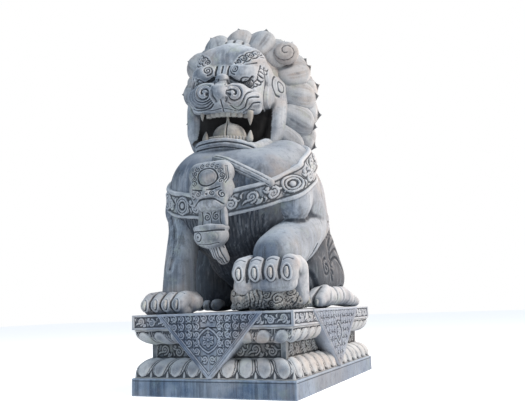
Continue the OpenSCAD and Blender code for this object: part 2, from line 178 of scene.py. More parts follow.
def stone(name, shade, light, streaks, dust, tooling, low_shade_and_stain=0.0):
    """Blue-grey stone: shade and light are its two colours. streaks is how far rain has marked
    it, dust how pale its upward faces are, tooling the depth of its chisel marks in metres, and
    the last factor how dark it is painted low down on the belly and haunches: painted shade
    under the chest and between the legs, with staining."""
    s = Shader(name)
    place = s.node("TexCoord", {}, {}, "Object")
    facing = s.node("NewGeometry", {}, {}, "Normal")
    upward = s.node("SeparateXYZ", {}, {0: facing}, 2)
    lit_side = s.node("SeparateXYZ", {}, {0: facing}, 0)
    hollow = s.node("Attribute", {"attribute_name": "hollow"}, {}, "Fac")
    rain = {0: place, 1: (1.0, 1.0, 0.045)}  # drawn out downwards
    drawn_down = s.node("VectorMath", {"operation": "MULTIPLY"}, rain)

    patches = s.noise(place, 5.0, 6.0).between(0.38, 0.64)
    grain = s.noise(place, 240.0, 4.0, 0.75)
    flecks = s.node("TexVoronoi", {}, {"Vector": place, "Scale": 420.0})
    streak = s.noise(drawn_down, 46.0, 5.0, 0.7).between(0.42, 0.62)
    upright = 1.0 - upward.between(0.25, 0.75)
    salt = tuple(min(1.0, 1.45 * c + 0.06) for c in light)
    pepper = tint(shade, 0.22)

    # two-toned stone, with dark and pale rain streaks and dust on its upward faces
    colour = s.mix(patches, tint(shade, 1), tint(light, 1))
    colour = s.mix(streak * upright * streaks, colour, pepper)
    washed = s.noise(drawn_down, 17.0, 3.0).between(0.5, 0.7)
    colour = s.mix(washed * upright * (0.5 * streaks), colour, tint(salt, 1))
    dusty = upward.between(0.30, 0.95)
    colour = s.mix(dusty * (grain * 0.6 + 0.45) * dust, colour, tint(salt, 1))

    # crystals, pale and dark
    colour = s.mix(grain.between(0.52, 0.78) * 0.34, colour, tint(salt, 1))
    colour = s.mix((1.0 - flecks.between(0.05, 0.32)) * 0.30, colour, pepper)

    # painted highlight: paler and warmer on the faces turned towards +X, where the key light
    # falls, then warm, greenish and dark stains
    painted_highlight = tint(salt, 1.10, 0.98, 0.88)
    colour = s.mix(lit_side.between(0.25, 0.95) * (0.25 + 0.35 * grain), colour, painted_highlight)
    warm = s.noise(place, 3.1, 4.0).between(0.48, 0.66)
    colour = s.mix(warm * 0.42, colour, tint(light, 1.34, 0.98, 0.74))
    lichen = s.noise(place, 9.0, 5.0, 0.7).between(0.53, 0.70)
    colour = s.mix(lichen * 0.34, colour, tint(light, 1.06, 1.10, 0.76))
    darkening = s.noise(place, 34.0, 5.0, 0.7).between(0.48, 0.74)
    colour = s.mix(darkening * 0.42, colour, tint(shade, 0.6))

    # rubbed edges, painted shade and staining low on the belly, dirt and painted shade in the
    # hollows, and near-black painted shade inside the mouth and throat
    worn = (0.0 - hollow).between(0.12, 0.90)
    colour = s.mix(worn * (0.16 + 0.30 * grain), colour, tint(salt, 1))
    # painted shade low on the belly and haunches, partly staining, with lighter trickles through it
    if low_shade_and_stain:
        height = s.node("SeparateXYZ", {}, {0: place}, 2)
        trickle = s.noise(drawn_down, 60.0, 4.0).between(0.45, 0.72)
        low_down = 1.0 - height.between(0.80, 1.06)
        colour = s.mix(low_down * (1.0 - 0.34 * trickle) * low_shade_and_stain, colour, pepper)
    # dirt and painted shade in the hollows
    colour = s.mix(hollow.between(0.03, 0.46) * (0.99 - 0.22 * grain), colour, pepper)
    # near-black painted shade inside the mouth and throat, where the hollow value passes 1
    colour = s.mix(hollow.between(1.0, 1.15), colour, (0.004, 0.004, 0.005, 1.0))
    s.set("Base Color", colour)

    s.set("Roughness", 0.86 - 0.16 * worn - 0.10 * streak + 0.10 * (grain - 0.5))
    s.surface.inputs["Specular IOR Level"].default_value = 0.35
    pits = {"Strength": 0.55, "Distance": 0.0012, "Height": grain}
    marks = s.noise(place, 95.0, 3.0, 0.6)
    dressed = {"Strength": 0.8, "Distance": tooling, "Height": marks}
    s.set("Normal", s.node("Bump", {}, {**dressed, "Normal": s.node("Bump", {}, pits)}))
    return s.material


def set_piece(name, mesh, material, replaces=(), reach=9, darkening=0.0):
    """Makes a finished shape a piece of the object. Where nothing else is said, it stands for
    the node of its own name, and its one material slot holds its stone."""
    mesh.shade_smooth()
    piece = bpy.data.objects.new(name, mesh)
    bpy.context.scene.collection.objects.link(piece)
    mesh.materials.clear()
    mesh.materials.append(material)
    store_hollows(mesh, reach, darkening)
    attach(piece, "root")
    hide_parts(*(replaces or [name]))


def mesh_piece(name, bm, material, replaces=(), reach=9):
    mesh = bpy.data.meshes.new(name)
    bm.to_mesh(mesh)
    bm.free()
    set_piece(name, mesh, material, replaces, reach=reach)


def put(verts, places):
    for vert, place in zip(verts, places):
        vert.co = place


def close_up(bm):
    """Fills the open sides and turns every face outwards."""
    bmesh.ops.holes_fill(bm, edges=[e for e in bm.edges if e.is_boundary], sides=0)
    bmesh.ops.recalc_face_normals(bm, faces=bm.faces)


def corners_of(mesh):
    co = np.empty(len(mesh.vertices) * 3, np.float32)
    mesh.vertices.foreach_get("co", co)
    return co.reshape(-1, 3).astype(float)


def facings_of(mesh):
    no = np.empty(len(mesh.vertices) * 3, np.float32)
    mesh.vertex_normals.foreach_get("vector", no)
    return no.reshape(-1, 3).astype(float)


def eased(co, mesh, rounds):
    """Corner places after each has moved to the middle of its neighbours, a number of times."""
    edges = np.empty(len(mesh.edges) * 2, np.int32)
    mesh.edges.foreach_get("vertices", edges)
    first, second = edges.reshape(-1, 2).T
    count = np.maximum(np.bincount(np.concatenate([first, second]), minlength=len(co)), 1)
    for _ in range(rounds):
        total = np.empty_like(co)
        for axis in range(3):
            ends = np.concatenate([co[second, axis], co[first, axis]])
            total[:, axis] = np.bincount(np.concatenate([first, second]), ends, len(co))
        co = 0.4 * co + 0.6 * total / count[:, None]
    return co


def store_hollows(mesh, reach, darkening):
    """Stores how far each corner lies below (above 0) or above (below 0) the stone round it,
    which the stone paints as dirt and painted shade in the hollows and as wear on the edges. The
    last argument is the least value for each corner: painted shade, near black, inside the mouth
    and throat."""
    co = corners_of(mesh)
    full_hollow = 0.0016
    below = ((eased(co, mesh, reach) - co) * facings_of(mesh)).sum(1) / full_hollow
    below = np.where(np.asarray(darkening) > 0, np.maximum(below, darkening), np.clip(below, -1, 1))
    hollow = mesh.attributes.new("hollow", "FLOAT", "POINT")
    hollow.data.foreach_set("value", below.astype(np.float32))


def course(half_w, half_d, profile, cell, relief):
    """A stone whose profile, a line of (set back, height) points, is carried round its four sides.
    relief(along, up, length) gives how far each point of a side stands out of the profile."""
    profile = np.array(profile, float)
    run = np.concatenate([[0.0], np.cumsum(np.linalg.norm(np.diff(profile, axis=0), axis=1))])
    rows = max(2, round(run[-1] / cell))
    bm = bmesh.new()
    sides = []
    for quarter in range(4):
        half, across = (half_w, half_d) if quarter % 2 == 0 else (half_d, half_w)
        columns = round(2 * half / cell)
        made = bmesh.ops.create_grid(bm, x_segments=columns, y_segments=rows, size=0.5)["verts"]
        uv = np.array([v.co[:2] for v in made]) + 0.5
        up = uv[:, 1] * run[-1]
        back = np.interp(up, run, profile[:, 0])
        height = np.interp(up, run, profile[:, 1])
        ahead = np.minimum(up + cell / 2, run[-1])
        behind = np.maximum(up - cell / 2, 0)
        lean = np.interp(ahead, run, profile[:, 0]) - np.interp(behind, run, profile[:, 0])
        rise = np.interp(ahead, run, profile[:, 1]) - np.interp(behind, run, profile[:, 1])
        slope = np.hypot(lean, rise)
        lift = relief(uv[:, 0] * 2 * half, up, 2 * half)
        flat = np.stack([
            (2 * uv[:, 0] - 1) * (half - back),
            -(across - back) - lift * rise / slope,
            height + lift * lean / slope,
        ], 1)
        turn = np.array(Matrix.Rotation(quarter * math.pi / 2, 3, "Z"))
        put(made, flat @ turn.T)
        sides += made
    bmesh.ops.remove_doubles(bm, verts=sides, dist=cell * 0.1)
    close_up(bm)
    return bm


def ripple(places, seed, size, waves=14):
    """Gentle unevenness of a hand-dressed face: seeded waves of about one size, summed."""
    dice = np.random.default_rng(seed)
    total = np.zeros(len(places))
    for _ in range(waves):
        heading = dice.normal(size=places.shape[1])
        heading *= 2 * math.pi / (size * dice.uniform(0.6, 1.6) * np.linalg.norm(heading))
        total += np.sin(places @ heading + dice.uniform(0, 2 * math.pi))
    return total / waves ** 0.5


block_low, block_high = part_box("plinth_block")
half_w, half_d = block_high.x, block_high.y
fillet_drop = 0.010  # a fine groove this far below the plinth's top edge
edge_wear = 0.003


def plinth_face(along, up, length):
    height = block_high.z - block_low.z
    groove = -0.0022 * np.exp(-((up - (height - fillet_drop)) / 0.0022) ** 2)
    uneven = 0.0007 * ripple(np.stack([along, up, up * 0 + length], 1), 3, 0.09)
    near_end = np.minimum(np.minimum(along, length - along), up)
    return (groove + uneven) * np.clip(near_end / 0.004, 0, 1)


plinth_profile = [
    (edge_wear, 0.0), (0.0, edge_wear), (0.0, block_high.z - edge_wear), (edge_wear, block_high.z)
]
mesh_piece(
    "plinth", course(half_w, half_d, plinth_profile, 0.0045, plinth_face),
    stone("plinth_stone", (0.055, 0.095, 0.165), (0.15, 0.2, 0.27), 0.6, 0.55, 0.0012),
    replaces=["plinth_block"], reach=6
)

# ---------------------------------------------------------------- lower lotus course
# A course with lotus petals that hang outwards over its rounded edge. Each petal is
# a fat egg inside a raised rim, with a small sepal's point between two petals.

lotus_stone = stone("lotus_stone", (0.1, 0.125, 0.165), (0.3, 0.33, 0.36), 0.35, 0.75, 0.0010)
waist_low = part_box("waist_block")[0]
set_back = half_w + waist_low.x  # how far the waist stands back
petal_lift = 0.015
front_petals, side_petals = 9, 13


def quarter_round(low, high, radius, base):
    """Profile points of an upright foot, then a quarter round that leans in, from low to high."""
    arc = [(base + radius * (1 - math.cos(a)), high - radius + radius * math.sin(a))
           for a in np.linspace(0, math.pi / 2, 20)]
    return [(base, low)] + arc


def petal_row(along, length, count):
    """Across one petal: 0 on its middle, 0.5 on the line between two petals."""
    return np.abs((along / length * count) % 1.0 - 0.5)


def petals_down(along, up, length):
    count = front_petals if length < 1.0 else side_petals
    side = petal_row(along, length, count)
    tall = lower_run
    t = up / tall
    belly = np.sqrt(np.clip(1 - ((0.48 - t) / 0.43) ** 2, 0, 1))
    wide = 0.49 * np.where(t < 0.48, belly, 1 - 0.18 * (t - 0.48))
    q = side / np.maximum(wide, 1e-4)
    rim = 0.45 * np.clip((1.0 - q) / 0.10, 0, 1)
    egg = np.sqrt(np.clip(1 - (q / 0.80) ** 2, 0, 1)) ** 0.8
    shape = np.where(q < 0.80, np.maximum(0.22, egg), rim)
    shape = np.where((q > 0.76) & (q < 0.84), 0.22, shape)
    sepal = 0.5 * np.clip(1 - (0.5 - side) / (0.16 * (1 - t / 0.30) + 1e-4), 0, 1) * (t < 0.30)
    foot = 0.35 * np.clip(1 - up / 0.006, 0, 1)
    lift = petal_lift * np.maximum.reduce([shape * np.clip((1 - t) / 0.06, 0, 1), sepal, foot])
    ends = np.clip(np.minimum(along, length - along) / 0.006, 0, 1)
    return lift * ends


lower_low, lower_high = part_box("lower_lotus_course")
lower_profile = quarter_round(
    lower_low.z, lower_high.z, set_back - petal_lift + 0.003, petal_lift - 0.002
)
lower_run = sum(math.dist(a, b) for a, b in zip(lower_profile, lower_profile[1:]))
mesh_piece(
    "lower_petals", course(half_w, half_d, lower_profile, 0.0036, petals_down), lotus_stone,
    replaces=["lower_lotus_course"]
)

# ---------------------------------------------------------------- waist
# The narrow block between the two lotus courses. Its faces are cut in low relief
# with spiral scrolls, inside a plain frame, and its stone is painted darker: painted
# shade for the recess under the upper lotus course.


def spiral(x, z, radius, turns, start, hand=1, width=0.0045):
    """A scroll: points (x, z, half width) that wind in from the rim to a fat eye."""
    t = np.linspace(0, 1, 34)
    angle = math.radians(start) + hand * 2 * math.pi * turns * t
    r = radius * (1 - 0.86 * t ** 0.9)
    wide = width * (1 - 0.25 * t) + 0.35 * width * (t > 0.93)
    return np.stack([x + r * np.cos(angle), z + r * np.sin(angle), wide], 1)


def bow(a, b, bulge, width=0.004, taper=True):
    """A curved leaf or stem from a to b that bulges sideways."""
    t = np.linspace(0, 1, 18)
    a, b = np.array(a, float), np.array(b, float)
    across = np.array([a[1] - b[1], b[0] - a[0]])
    line = a + (b - a) * t[:, None] + across * (bulge * np.sin(math.pi * t))[:, None]
    wide = width * (np.sin(math.pi * np.clip(t, 0.06, 0.94)) if taper else np.ones_like(t))
    return np.column_stack([line, wide])


def running_scroll(low, high, start, end, pitch, rim):
    """Scrolls along a band that turn up and down by turns, joined by a wavy stem, with leaves
    in the gaps."""
    count = max(1, round((end - start) / pitch))
    pitch = (end - start) / count
    middle, room = (low + high) / 2, (high - low) / 2 - rim
    curves = []
    for i in range(count):
        x = start + (i + 0.5) * pitch
        way = 1 if i % 2 == 0 else -1
        r = min(0.40 * pitch, 0.72 * room)
        up = way * room
        curves.append(spiral(x, middle + way * (room - r) * 0.55, r, 1.7, -90 * way, way))
        small_x, small_z = x + way * 0.30 * pitch, middle - 0.62 * up
        curves.append(spiral(small_x, small_z, 0.34 * r, 1.1, 90 * way, -way, 0.003))
        leaves = (  # each end is pitches along and rooms up from the scroll's middle
            (-0.5, -0.7, 0, -0.35, 0.25 * way, 0.004),
            (0.1, -0.8, 0.5, -0.1, -0.3, 0.004),
            (-0.45, 0.15, -0.40, 0.9, 0.3, 0.0032),
        )
        for ax, az, bx, bz, bulge, wide in leaves:
            root, tip = (x + ax * pitch, middle + az * up), (x + bx * pitch, middle + bz * up)
            curves.append(bow(root, tip, bulge, wide))
    return curves


def cut_height(x, z, curves):
    """Height, 0 to 1, of rounded bands that run along the curves, at points (x, z)."""
    points = np.concatenate(curves)
    tree = KDTree(len(points))
    for i, (px, pz, _) in enumerate(points):
        tree.insert((px, pz, 0), i)
    tree.balance()
    near = [tree.find((a, b, 0)) for a, b in zip(x, z)]
    index = np.array([n[1] for n in near])
    away = np.array([n[2] for n in near]) / np.maximum(points[index, 2], 1e-4)
    ridge = np.sqrt(np.clip(1 - (away / 1.15) ** 2, 0, 1))
    return ridge * (1 - 0.30 * np.exp(-(away / 0.28) ** 2))


def framed(along, up, length, tall, rim, depth, curves, sides):
    """A sunk panel inside a flat frame: the ground goes down by depth, and the curves rise
    from it."""
    inside = np.minimum.reduce([along - sides, length - sides - along, up - rim, tall - rim - up])
    sunk = np.clip(inside / 0.003, 0, 1)
    lift = np.zeros_like(along)
    work = inside > 0
    lift[work] = -depth * sunk[work] * (1 - 0.98 * cut_height(along[work], up[work], curves))
    return lift


waist_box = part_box("waist_block")
waist_tall = waist_box[1].z - waist_box[0].z
waist_depth = 0.006


def waist_face(along, up, length):
    curves = running_scroll(0, waist_tall, 0.03, length - 0.03, 0.082, 0.010)
    return framed(along, up, length, waist_tall, 0.007, waist_depth, curves, 0.026)


# Painted shade: the waist's stone is darker than that of the courses above and below it.
waist_stone = stone("waist_stone", (0.06, 0.078, 0.1), (0.2, 0.225, 0.25), 0.4, 0.4, 0.0010)
mesh_piece(
    "waist",
    course(
        waist_box[1].x, waist_box[1].y, [(0.0, waist_box[0].z), (0.0, waist_box[1].z)], 0.003,
        waist_face
    ),
    waist_stone, replaces=["waist_block"]
)

# ---------------------------------------------------------------- upper lotus course
# The same petals turned up under the slab: round lobes with an arched line above
# each and crossed cuts in the gaps. The edge curves in to the waist below.


def petals_up(along, up, length):
    count = front_petals if length < 1.0 else side_petals
    side = petal_row(along, length, count)
    t = up / upper_run
    crown = np.sqrt(np.clip(1 - ((t - 0.50) / 0.42) ** 2, 0, 1))
    wide = 0.47 * np.where(t > 0.50, crown, 1 - 0.12 * (0.50 - t))
    q = side / np.maximum(wide, 1e-4)
    egg = np.sqrt(np.clip(1 - (q / 0.84) ** 2, 0, 1)) ** 0.75
    rim = 0.40 * np.clip((1.0 - q) / 0.06, 0, 1)
    shape = np.where(q < 0.84, np.maximum(0.15, egg), rim)
    crossed = 0.30 + 0.22 * np.sign(np.sin(900 * up + 55 * side) * np.sin(900 * up - 55 * side))
    shape = np.where(q >= 1.0, crossed * (t > 0.25), shape)
    brim = 0.9 * np.clip((t - 0.955) / 0.01, 0, 1)
    lift = petal_lift * np.maximum(shape * np.clip(t / 0.08, 0, 1), brim)
    ends = np.clip(np.minimum(along, length - along) / 0.006, 0, 1)
    return lift * ends


upper_low, upper_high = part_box("upper_lotus_course")
upper_profile = [
    (back, upper_low.z + upper_high.z - z)
    for back, z in reversed(quarter_round(upper_low.z, upper_high.z, 0.056, petal_lift - 0.002))
]
upper_profile = [(set_back, upper_low.z)] + upper_profile
upper_run = sum(math.dist(a, b) for a, b in zip(upper_profile, upper_profile[1:]))
mesh_piece(
    "upper_petals", course(half_w, half_d, upper_profile, 0.0036, petals_up), lotus_stone,
    replaces=["upper_lotus_course"]
)

# ---------------------------------------------------------------- base slab
# The slab that the lion sits on, part of the lion's own block. A band of running
# scrolls is sunk into each of its four edges, inside a flat frame.

slab_low, slab_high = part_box("base_slab")
slab_tall = slab_high.z - slab_low.z
top = slab_high.z


def slab_face(along, up, length):
    curves = running_scroll(0, slab_tall, 0.02, length - 0.02, 0.066, 0.011)
    return framed(along, up, length, slab_tall, 0.008, 0.006, curves, 0.012)


slab_stone = stone("slab_stone", (0.075, 0.105, 0.16), (0.25, 0.285, 0.33), 0.35, 0.75, 0.0010)
mesh_piece(
    "slab",
    course(
        half_w, half_d, [(0.0, slab_low.z), (0.0, slab_high.z - 0.002), (0.002, slab_high.z)],
        0.003, slab_face
    ),
    slab_stone, replaces=["base_slab"]
)

# ---------------------------------------------------------------- hanging cloths
# A pointed cloth is carved as if laid over each side, from the slab's top to the
# plinth. Plain raised hems frame a field of scrolls with a medallion in its middle.

cloth_stone = stone("cloth_stone", (0.06, 0.09, 0.15), (0.21, 0.25, 0.31), 0.45, 0.5, 0.0010)
hem = 0.022


def cloth_field(half, low, high):
    """The scrolls inside the hems: rows that get shorter towards the point, mirrored about
    the middle."""
    middle = high - 0.42 * (high - low)
    curves = []
    pitch = 0.043
    for row in range(7):
        z = high - 0.026 - row * 0.039
        reach = half * (z - low) / (high - low) - hem - 0.014
        for i in range(int(reach / pitch) + 1):
            x = (0.5 + i) * pitch
            if x > reach or math.hypot(x, 0.8 * (z - middle)) < 0.060:
                continue
            way = 1 if (i + row) % 2 == 0 else -1
            for side in (-1, 1):
                curves.append(spiral(side * x, z, 0.0165, 1.4, 90 * way, side * way, 0.0034))
                stem = (side * (x + 0.020), z - 0.014), (side * (x + 0.023), z + 0.016)
                curves.append(bow(*stem, 0.25 * side, 0.0030))
                base = (side * (x - 0.014), z - 0.020), (side * (x + 0.016), z - 0.019)
                curves.append(bow(*base, 0.18 * side, 0.0026))
    corner = [(0.062, 0), (0, 0.058), (-0.062, 0), (0, -0.058)]
    for a, b in zip(corner, corner[1:] + corner[:1]):
        curves.append(bow((a[0], middle + a[1]), (b[0], middle + b[1]), -0.10, 0.0035, False))
    for k in range(6):
        angle = math.radians(60 * k + 30)
        way = np.array([math.cos(angle), math.sin(angle)])
        for bulge in (0.22, -0.22):
            curves.append(bow((0, middle) + 0.008 * way, (0, middle) + 0.034 * way, bulge, 0.0048))
    curves.append(spiral(0, middle, 0.007, 1.0, 0, 1, 0.004))
    return curves


def cloth(name, node, half, quarter):
    """One cloth, drawn facing -Y and turned to its side. Its outer face stands where the CAD
    cloth's does."""
    low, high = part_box(node)
    reach = half_d if quarter % 2 == 0 else half_w
    proud = (-low.y, high.x, high.y, -low.x)[quarter] - reach
    tip = 0.010
    cell = 0.0031
    bm = bmesh.new()
    made = bmesh.ops.create_grid(
        bm, x_segments=round(2 * half / cell), y_segments=round((high.z - low.z) / cell), size=0.5
    )["verts"]
    uv = np.array([v.co[:2] for v in made])
    z = low.z + (uv[:, 1] + 0.5) * (high.z - low.z)
    edge = tip + (half - tip) * (uv[:, 1] + 0.5)
    x = 2 * uv[:, 0] * edge
    slant = math.cos(math.atan2(half - tip, high.z - low.z))
    from_hem = (edge - np.abs(x)) * slant
    inside = np.minimum(from_hem - hem, high.z - 0.010 - z)
    lift = np.zeros_like(x)
    field = inside > 0
    curves = cloth_field(half, low.z, high.z)
    sunk = np.clip(inside[field] / 0.003, 0, 1)
    lift[field] = -0.006 * sunk * (1 - 0.98 * cut_height(x[field], z[field], curves))
    for line in (0.006, 0.018):
        lift -= 0.0024 * np.exp(-((from_hem - line) / 0.0018) ** 2) * (z < high.z - 0.004)
    lift -= 0.004 * np.exp(-(from_hem / 0.0020) ** 2)
    put(made, np.stack([x, -(reach + proud) - lift, z], 1))
    rim = [e for e in bm.edges if e.is_boundary]
    back = bmesh.ops.extrude_edge_only(bm, edges=rim)["geom"]
    for vert in [g for g in back if isinstance(g, bmesh.types.BMVert)]:
        vert.co.y = -(reach - set_back)
        vert.co.z = min(vert.co.z, high.z - 0.006)
    close_up(bm)
    bmesh.ops.rotate(bm, verts=bm.verts, matrix=Matrix.Rotation(quarter * math.pi / 2, 3, "Z"))
    mesh_piece(name, bm, cloth_stone, [node])


front_cloth_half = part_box("cloth_front")[1].x
side_cloth_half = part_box("cloth_left")[1].y
cloth("front_cloth", "cloth_front", front_cloth_half, 0)
cloth("left_cloth", "cloth_left", side_cloth_half, 1)
cloth("back_cloth", "cloth_back", front_cloth_half, 2)
cloth("right_cloth", "cloth_right", side_cloth_half, 3)

# ---------------------------------------------------------------- mortar and dowels
# Lime mortar fills each bed, raked back from the face, and steel pins lock the
# courses together inside. Both keep their worked shapes and get their own finish.

mortar = Shader("lime_mortar")
mortar_place = mortar.node("TexCoord", {}, {}, "Object")
sand = mortar.noise(mortar_place, 320.0, 4.0, 0.7)
damp = mortar.noise(mortar_place, 9.0, 3.0)
mortar.set(
    "Base Color", mortar.mix(sand * 0.6 + damp * 0.3, (0.3, 0.29, 0.26, 1), (0.62, 0.6, 0.54, 1))
)
mortar.set("Roughness", 0.80 + 0.15 * sand)
mortar.set("Normal", mortar.node("Bump", {}, {"Strength": 0.6, "Distance": 0.001, "Height": sand}))
steel = Shader("drawn_steel")
steel_place = steel.node("TexCoord", {}, {}, "Object")
drawn = steel.node("VectorMath", {"operation": "MULTIPLY"}, {0: steel_place, 1: (1.0, 1.0, 0.03)})
lines = steel.noise(drawn, 600.0, 3.0)
rust = steel.noise(steel_place, 60.0, 5.0).between(0.55, 0.72)
steel.set("Base Color", steel.mix(rust, (0.52, 0.52, 0.53, 1), (0.24, 0.12, 0.06, 1)))
steel.set("Metallic", 1.0 - rust)
steel.set("Roughness", 0.28 + 0.15 * lines + 0.4 * rust)
steel.set("Normal", steel.node("Bump", {}, {"Strength": 0.3, "Distance": 0.0004, "Height": lines}))
for node, finish in (("mortar_beds", mortar), ("dowel_pins", steel)):
    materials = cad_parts[node].data.materials
    materials.clear()
    materials.append(finish.material)

# ---------------------------------------------------------------- trunk
# The lion's chest, back and seat, one block with the slab. The surface is rubbed
# smooth on the chest; the belly has hair cut in upright wavy grooves.


def worked(piece):
    """The piece's mesh after its modifiers."""
    return bpy.data.meshes.new_from_object(
        piece.evaluated_get(bpy.context.evaluated_depsgraph_get())
    )


class Carving:
    """Stone built up from rounded lumps, given one skin, then grooved and raised. Lumps are in
    millimetres and drawn lines in metres, both from the carving's origin (in millimetres)."""

    def __init__(self, cell, origin=(0, 0, 0)):
        self.cell = cell
        self.origin = origin
        self.solid = bmesh.new()
        self.hole = bmesh.new()

    def placed(self, x, y, z):
        ox, oy, oz = self.origin
        return Matrix.Translation(Vector((x + ox, y + oy, z + oz)) / 1000)

    def lump(self, *balls, hole=False):
        """The hull round a few balls, each (x, y, z, radius)."""
        one = bmesh.new()
        for x, y, z, r in balls:
            place = self.placed(x, y, z)
            bmesh.ops.create_icosphere(one, subdivisions=3, radius=r / 1000, matrix=place)
        bmesh.ops.delete(one, geom=one.edges, context="EDGES_FACES")
        bmesh.ops.convex_hull(one, input=one.verts)
        bmesh.ops.delete(one, geom=[v for v in one.verts if not v.link_faces], context="VERTS")
        bmesh.ops.recalc_face_normals(one, faces=one.faces)
        self._take(one, hole)

    def chain(self, *balls):
        """Lumps between each ball and the next."""
        for a, b in zip(balls, balls[1:]):
            self.lump(a, b)

    def egg(self, at, half):
        one = bmesh.new()
        place = self.placed(*at) @ Matrix.Diagonal((*(h / 1000 for h in half), 1))
        bmesh.ops.create_icosphere(one, subdivisions=4, radius=1, matrix=place)
        self._take(one, False)

    def _take(self, one, hole):
        mesh = bpy.data.meshes.new("lump")
        one.to_mesh(mesh)
        one.free()
        (self.hole if hole else self.solid).from_mesh(mesh)
        bpy.data.meshes.remove(mesh)

    def skin(self, soft, planes=(), shell=0.0):
        """Joins the lumps under one skin and softens it. What lies beyond a plane (point, way)
        is cut off, and shell is the thickness of what is left, where only the skin is kept."""
        body = bpy.data.objects.new("rough", bpy.data.meshes.new("rough"))
        self.solid.to_mesh(body.data)
        bpy.context.scene.collection.objects.link(body)
        used = [body]
        body.modifiers.new("skin", "REMESH")
        if self.hole.verts:
            cutter = bpy.data.objects.new("cutter", bpy.data.meshes.new("cutter"))
            self.hole.to_mesh(cutter.data)
            bpy.context.scene.collection.objects.link(cutter)
            used.append(cutter)
            cutter.modifiers.new("skin", "REMESH")
            cut = body.modifiers.new("cut", "BOOLEAN")
            cut.object = cutter
            cut.solver = "MANIFOLD"
            body.modifiers.new("skin_again", "REMESH")
        for piece in used:
            for modifier in piece.modifiers:
                if modifier.type == "REMESH":
                    modifier.mode = "VOXEL"
                    modifier.voxel_size = 2 * self.cell
        mesh = worked(body)
        mesh.vertices.foreach_set(
            "co", eased(corners_of(mesh), mesh, soft).astype(np.float32).ravel()
        )
        if planes:
            strip = bmesh.new()
            strip.from_mesh(mesh)
            for point, way in planes:
                geom = [*strip.verts, *strip.edges, *strip.faces]
                cut_at = {"plane_co": point, "plane_no": way}
                bmesh.ops.bisect_plane(strip, geom=geom, clear_outer=True, **cut_at)
            if shell:
                bmesh.ops.solidify(strip, geom=strip.faces, thickness=shell)
            bmesh.ops.recalc_face_normals(strip, faces=strip.faces)
            strip.to_mesh(mesh)
            strip.free()
        body.modifiers.clear()
        body.data = mesh
        fine = body.modifiers.new("fine", "SUBSURF")
        fine.levels = 1
        fine.render_levels = 1
        self.mesh = worked(body)
        for piece in used:
            bpy.data.objects.remove(piece)
        self.co = corners_of(self.mesh)
        self.no = facings_of(self.mesh)
        self.cut = np.zeros(len(self.co))
        self.proud = np.zeros(len(self.co))
        shape = bmesh.new()
        shape.from_mesh(self.mesh)
        self.tree = BVHTree.FromBMesh(shape)
        shape.free()

    def trace(self, points, face="front"):
        """Drops a drawn line on the skin from one side. Points are (across, height), or (x, y)
        from the top."""
        ox, oy, oz = (o / 1000 for o in self.origin)
        found = []
        for a, b in np.asarray(points, float)[:, :2]:
            start, way = {
                "front": ((ox + a, -3, oz + b), (0, 1, 0)),
                "back": ((ox + a, 3, oz + b), (0, -1, 0)),
                "left": ((3, oy + a, oz + b), (-1, 0, 0)),
                "right": ((-3, oy + a, oz + b), (1, 0, 0)),
                "top": ((ox + a, oy + b, 4), (0, 0, -1)),
            }[face]
            hit = self.tree.ray_cast(Vector(start), Vector(way))[0]
            if hit:
                found.append(hit)
        return np.array(found).reshape(-1, 3)

    def near(self, path, reach):
        """Corners near a path, and how far each is from it."""
        if len(path) < 2:
            return np.zeros(0, int), np.zeros(0)
        step = max(1, int(np.linalg.norm(np.diff(path, axis=0), axis=1).max() / (0.4 * reach)) + 1)
        t = np.linspace(0, len(path) - 1, (len(path) - 1) * step + 1)
        dense = np.stack([np.interp(t, np.arange(len(path)), path[:, k]) for k in range(3)], 1)
        box = ((self.co > dense.min(0) - reach) & (self.co < dense.max(0) + reach)).all(1)
        index = np.flatnonzero(box)
        away = np.full(len(index), np.inf)
        for place in dense:
            away = np.minimum(away, ((self.co[index] - place) ** 2).sum(1))
        away = np.sqrt(away)
        keep = away < reach
        return index[keep], away[keep]

    def groove(self, points, half, depth, face="front"):
        """Cuts along a drawn line, or widens a cut that is there."""
        index, away = self.near(self.trace(points, face), half)
        self.cut[index] = np.maximum(self.cut[index], depth * (1 - away / half) ** 0.7)

    def ridge(self, points, half, height, face="front"):
        index, away = self.near(self.trace(points, face), half)
        rise = height * np.sqrt(1 - (away / half) ** 2)
        self.proud[index] = np.maximum(self.proud[index], rise)

    def boss(self, point, radius, height):
        """A low rounded boss round a point of the front, or a dish where the height is below 0."""
        away = np.linalg.norm(self.co - self.trace([point])[0], axis=1)
        shape = np.sqrt(np.clip(1 - (away / radius) ** 2, 0, 1)) * height
        self.proud += np.where(shape > 0, np.maximum(shape - self.proud, 0), shape)

    def finish(self, name, material, replaces=(), slot="", turn=None, reach=9, darkening=0.0):
        """Applies the cuts and makes the carving a piece of the object."""
        places = self.co + self.no * (self.proud - self.cut)[:, None]
        self.mesh.vertices.foreach_set("co", places.astype(np.float32).ravel())
        if turn:
            self.mesh.transform(turn)
        set_piece(name, self.mesh, material, replaces, reach, darkening)


def arc(x, z, radius, start, end, count=16, tall=1.0):
    """Points (x, z) of an arc, in degrees from the right, turning towards the top."""
    a = np.radians(np.linspace(start, end, count))
    return np.column_stack([x + radius * np.cos(a), z + tall * radius * np.sin(a)])


def sweep(*points, count=24):
    """A smooth line through a few drawn points (a Catmull-Rom curve)."""
    p = np.array([points[0], *points, points[-1]], float)
    line = []
    for i in range(1, len(p) - 2):
        for t in np.linspace(0, 1, max(3, count // (len(p) - 3)), endpoint=False):
            a, b, c, d = p[i - 1:i + 3]
            bend = (2 * a - 5 * b + 4 * c - d) * t ** 2
            line.append(0.5 * (2 * b + (c - a) * t + bend + (3 * b - a - 3 * c + d) * t ** 3))
    return np.array(line + [p[-1]])


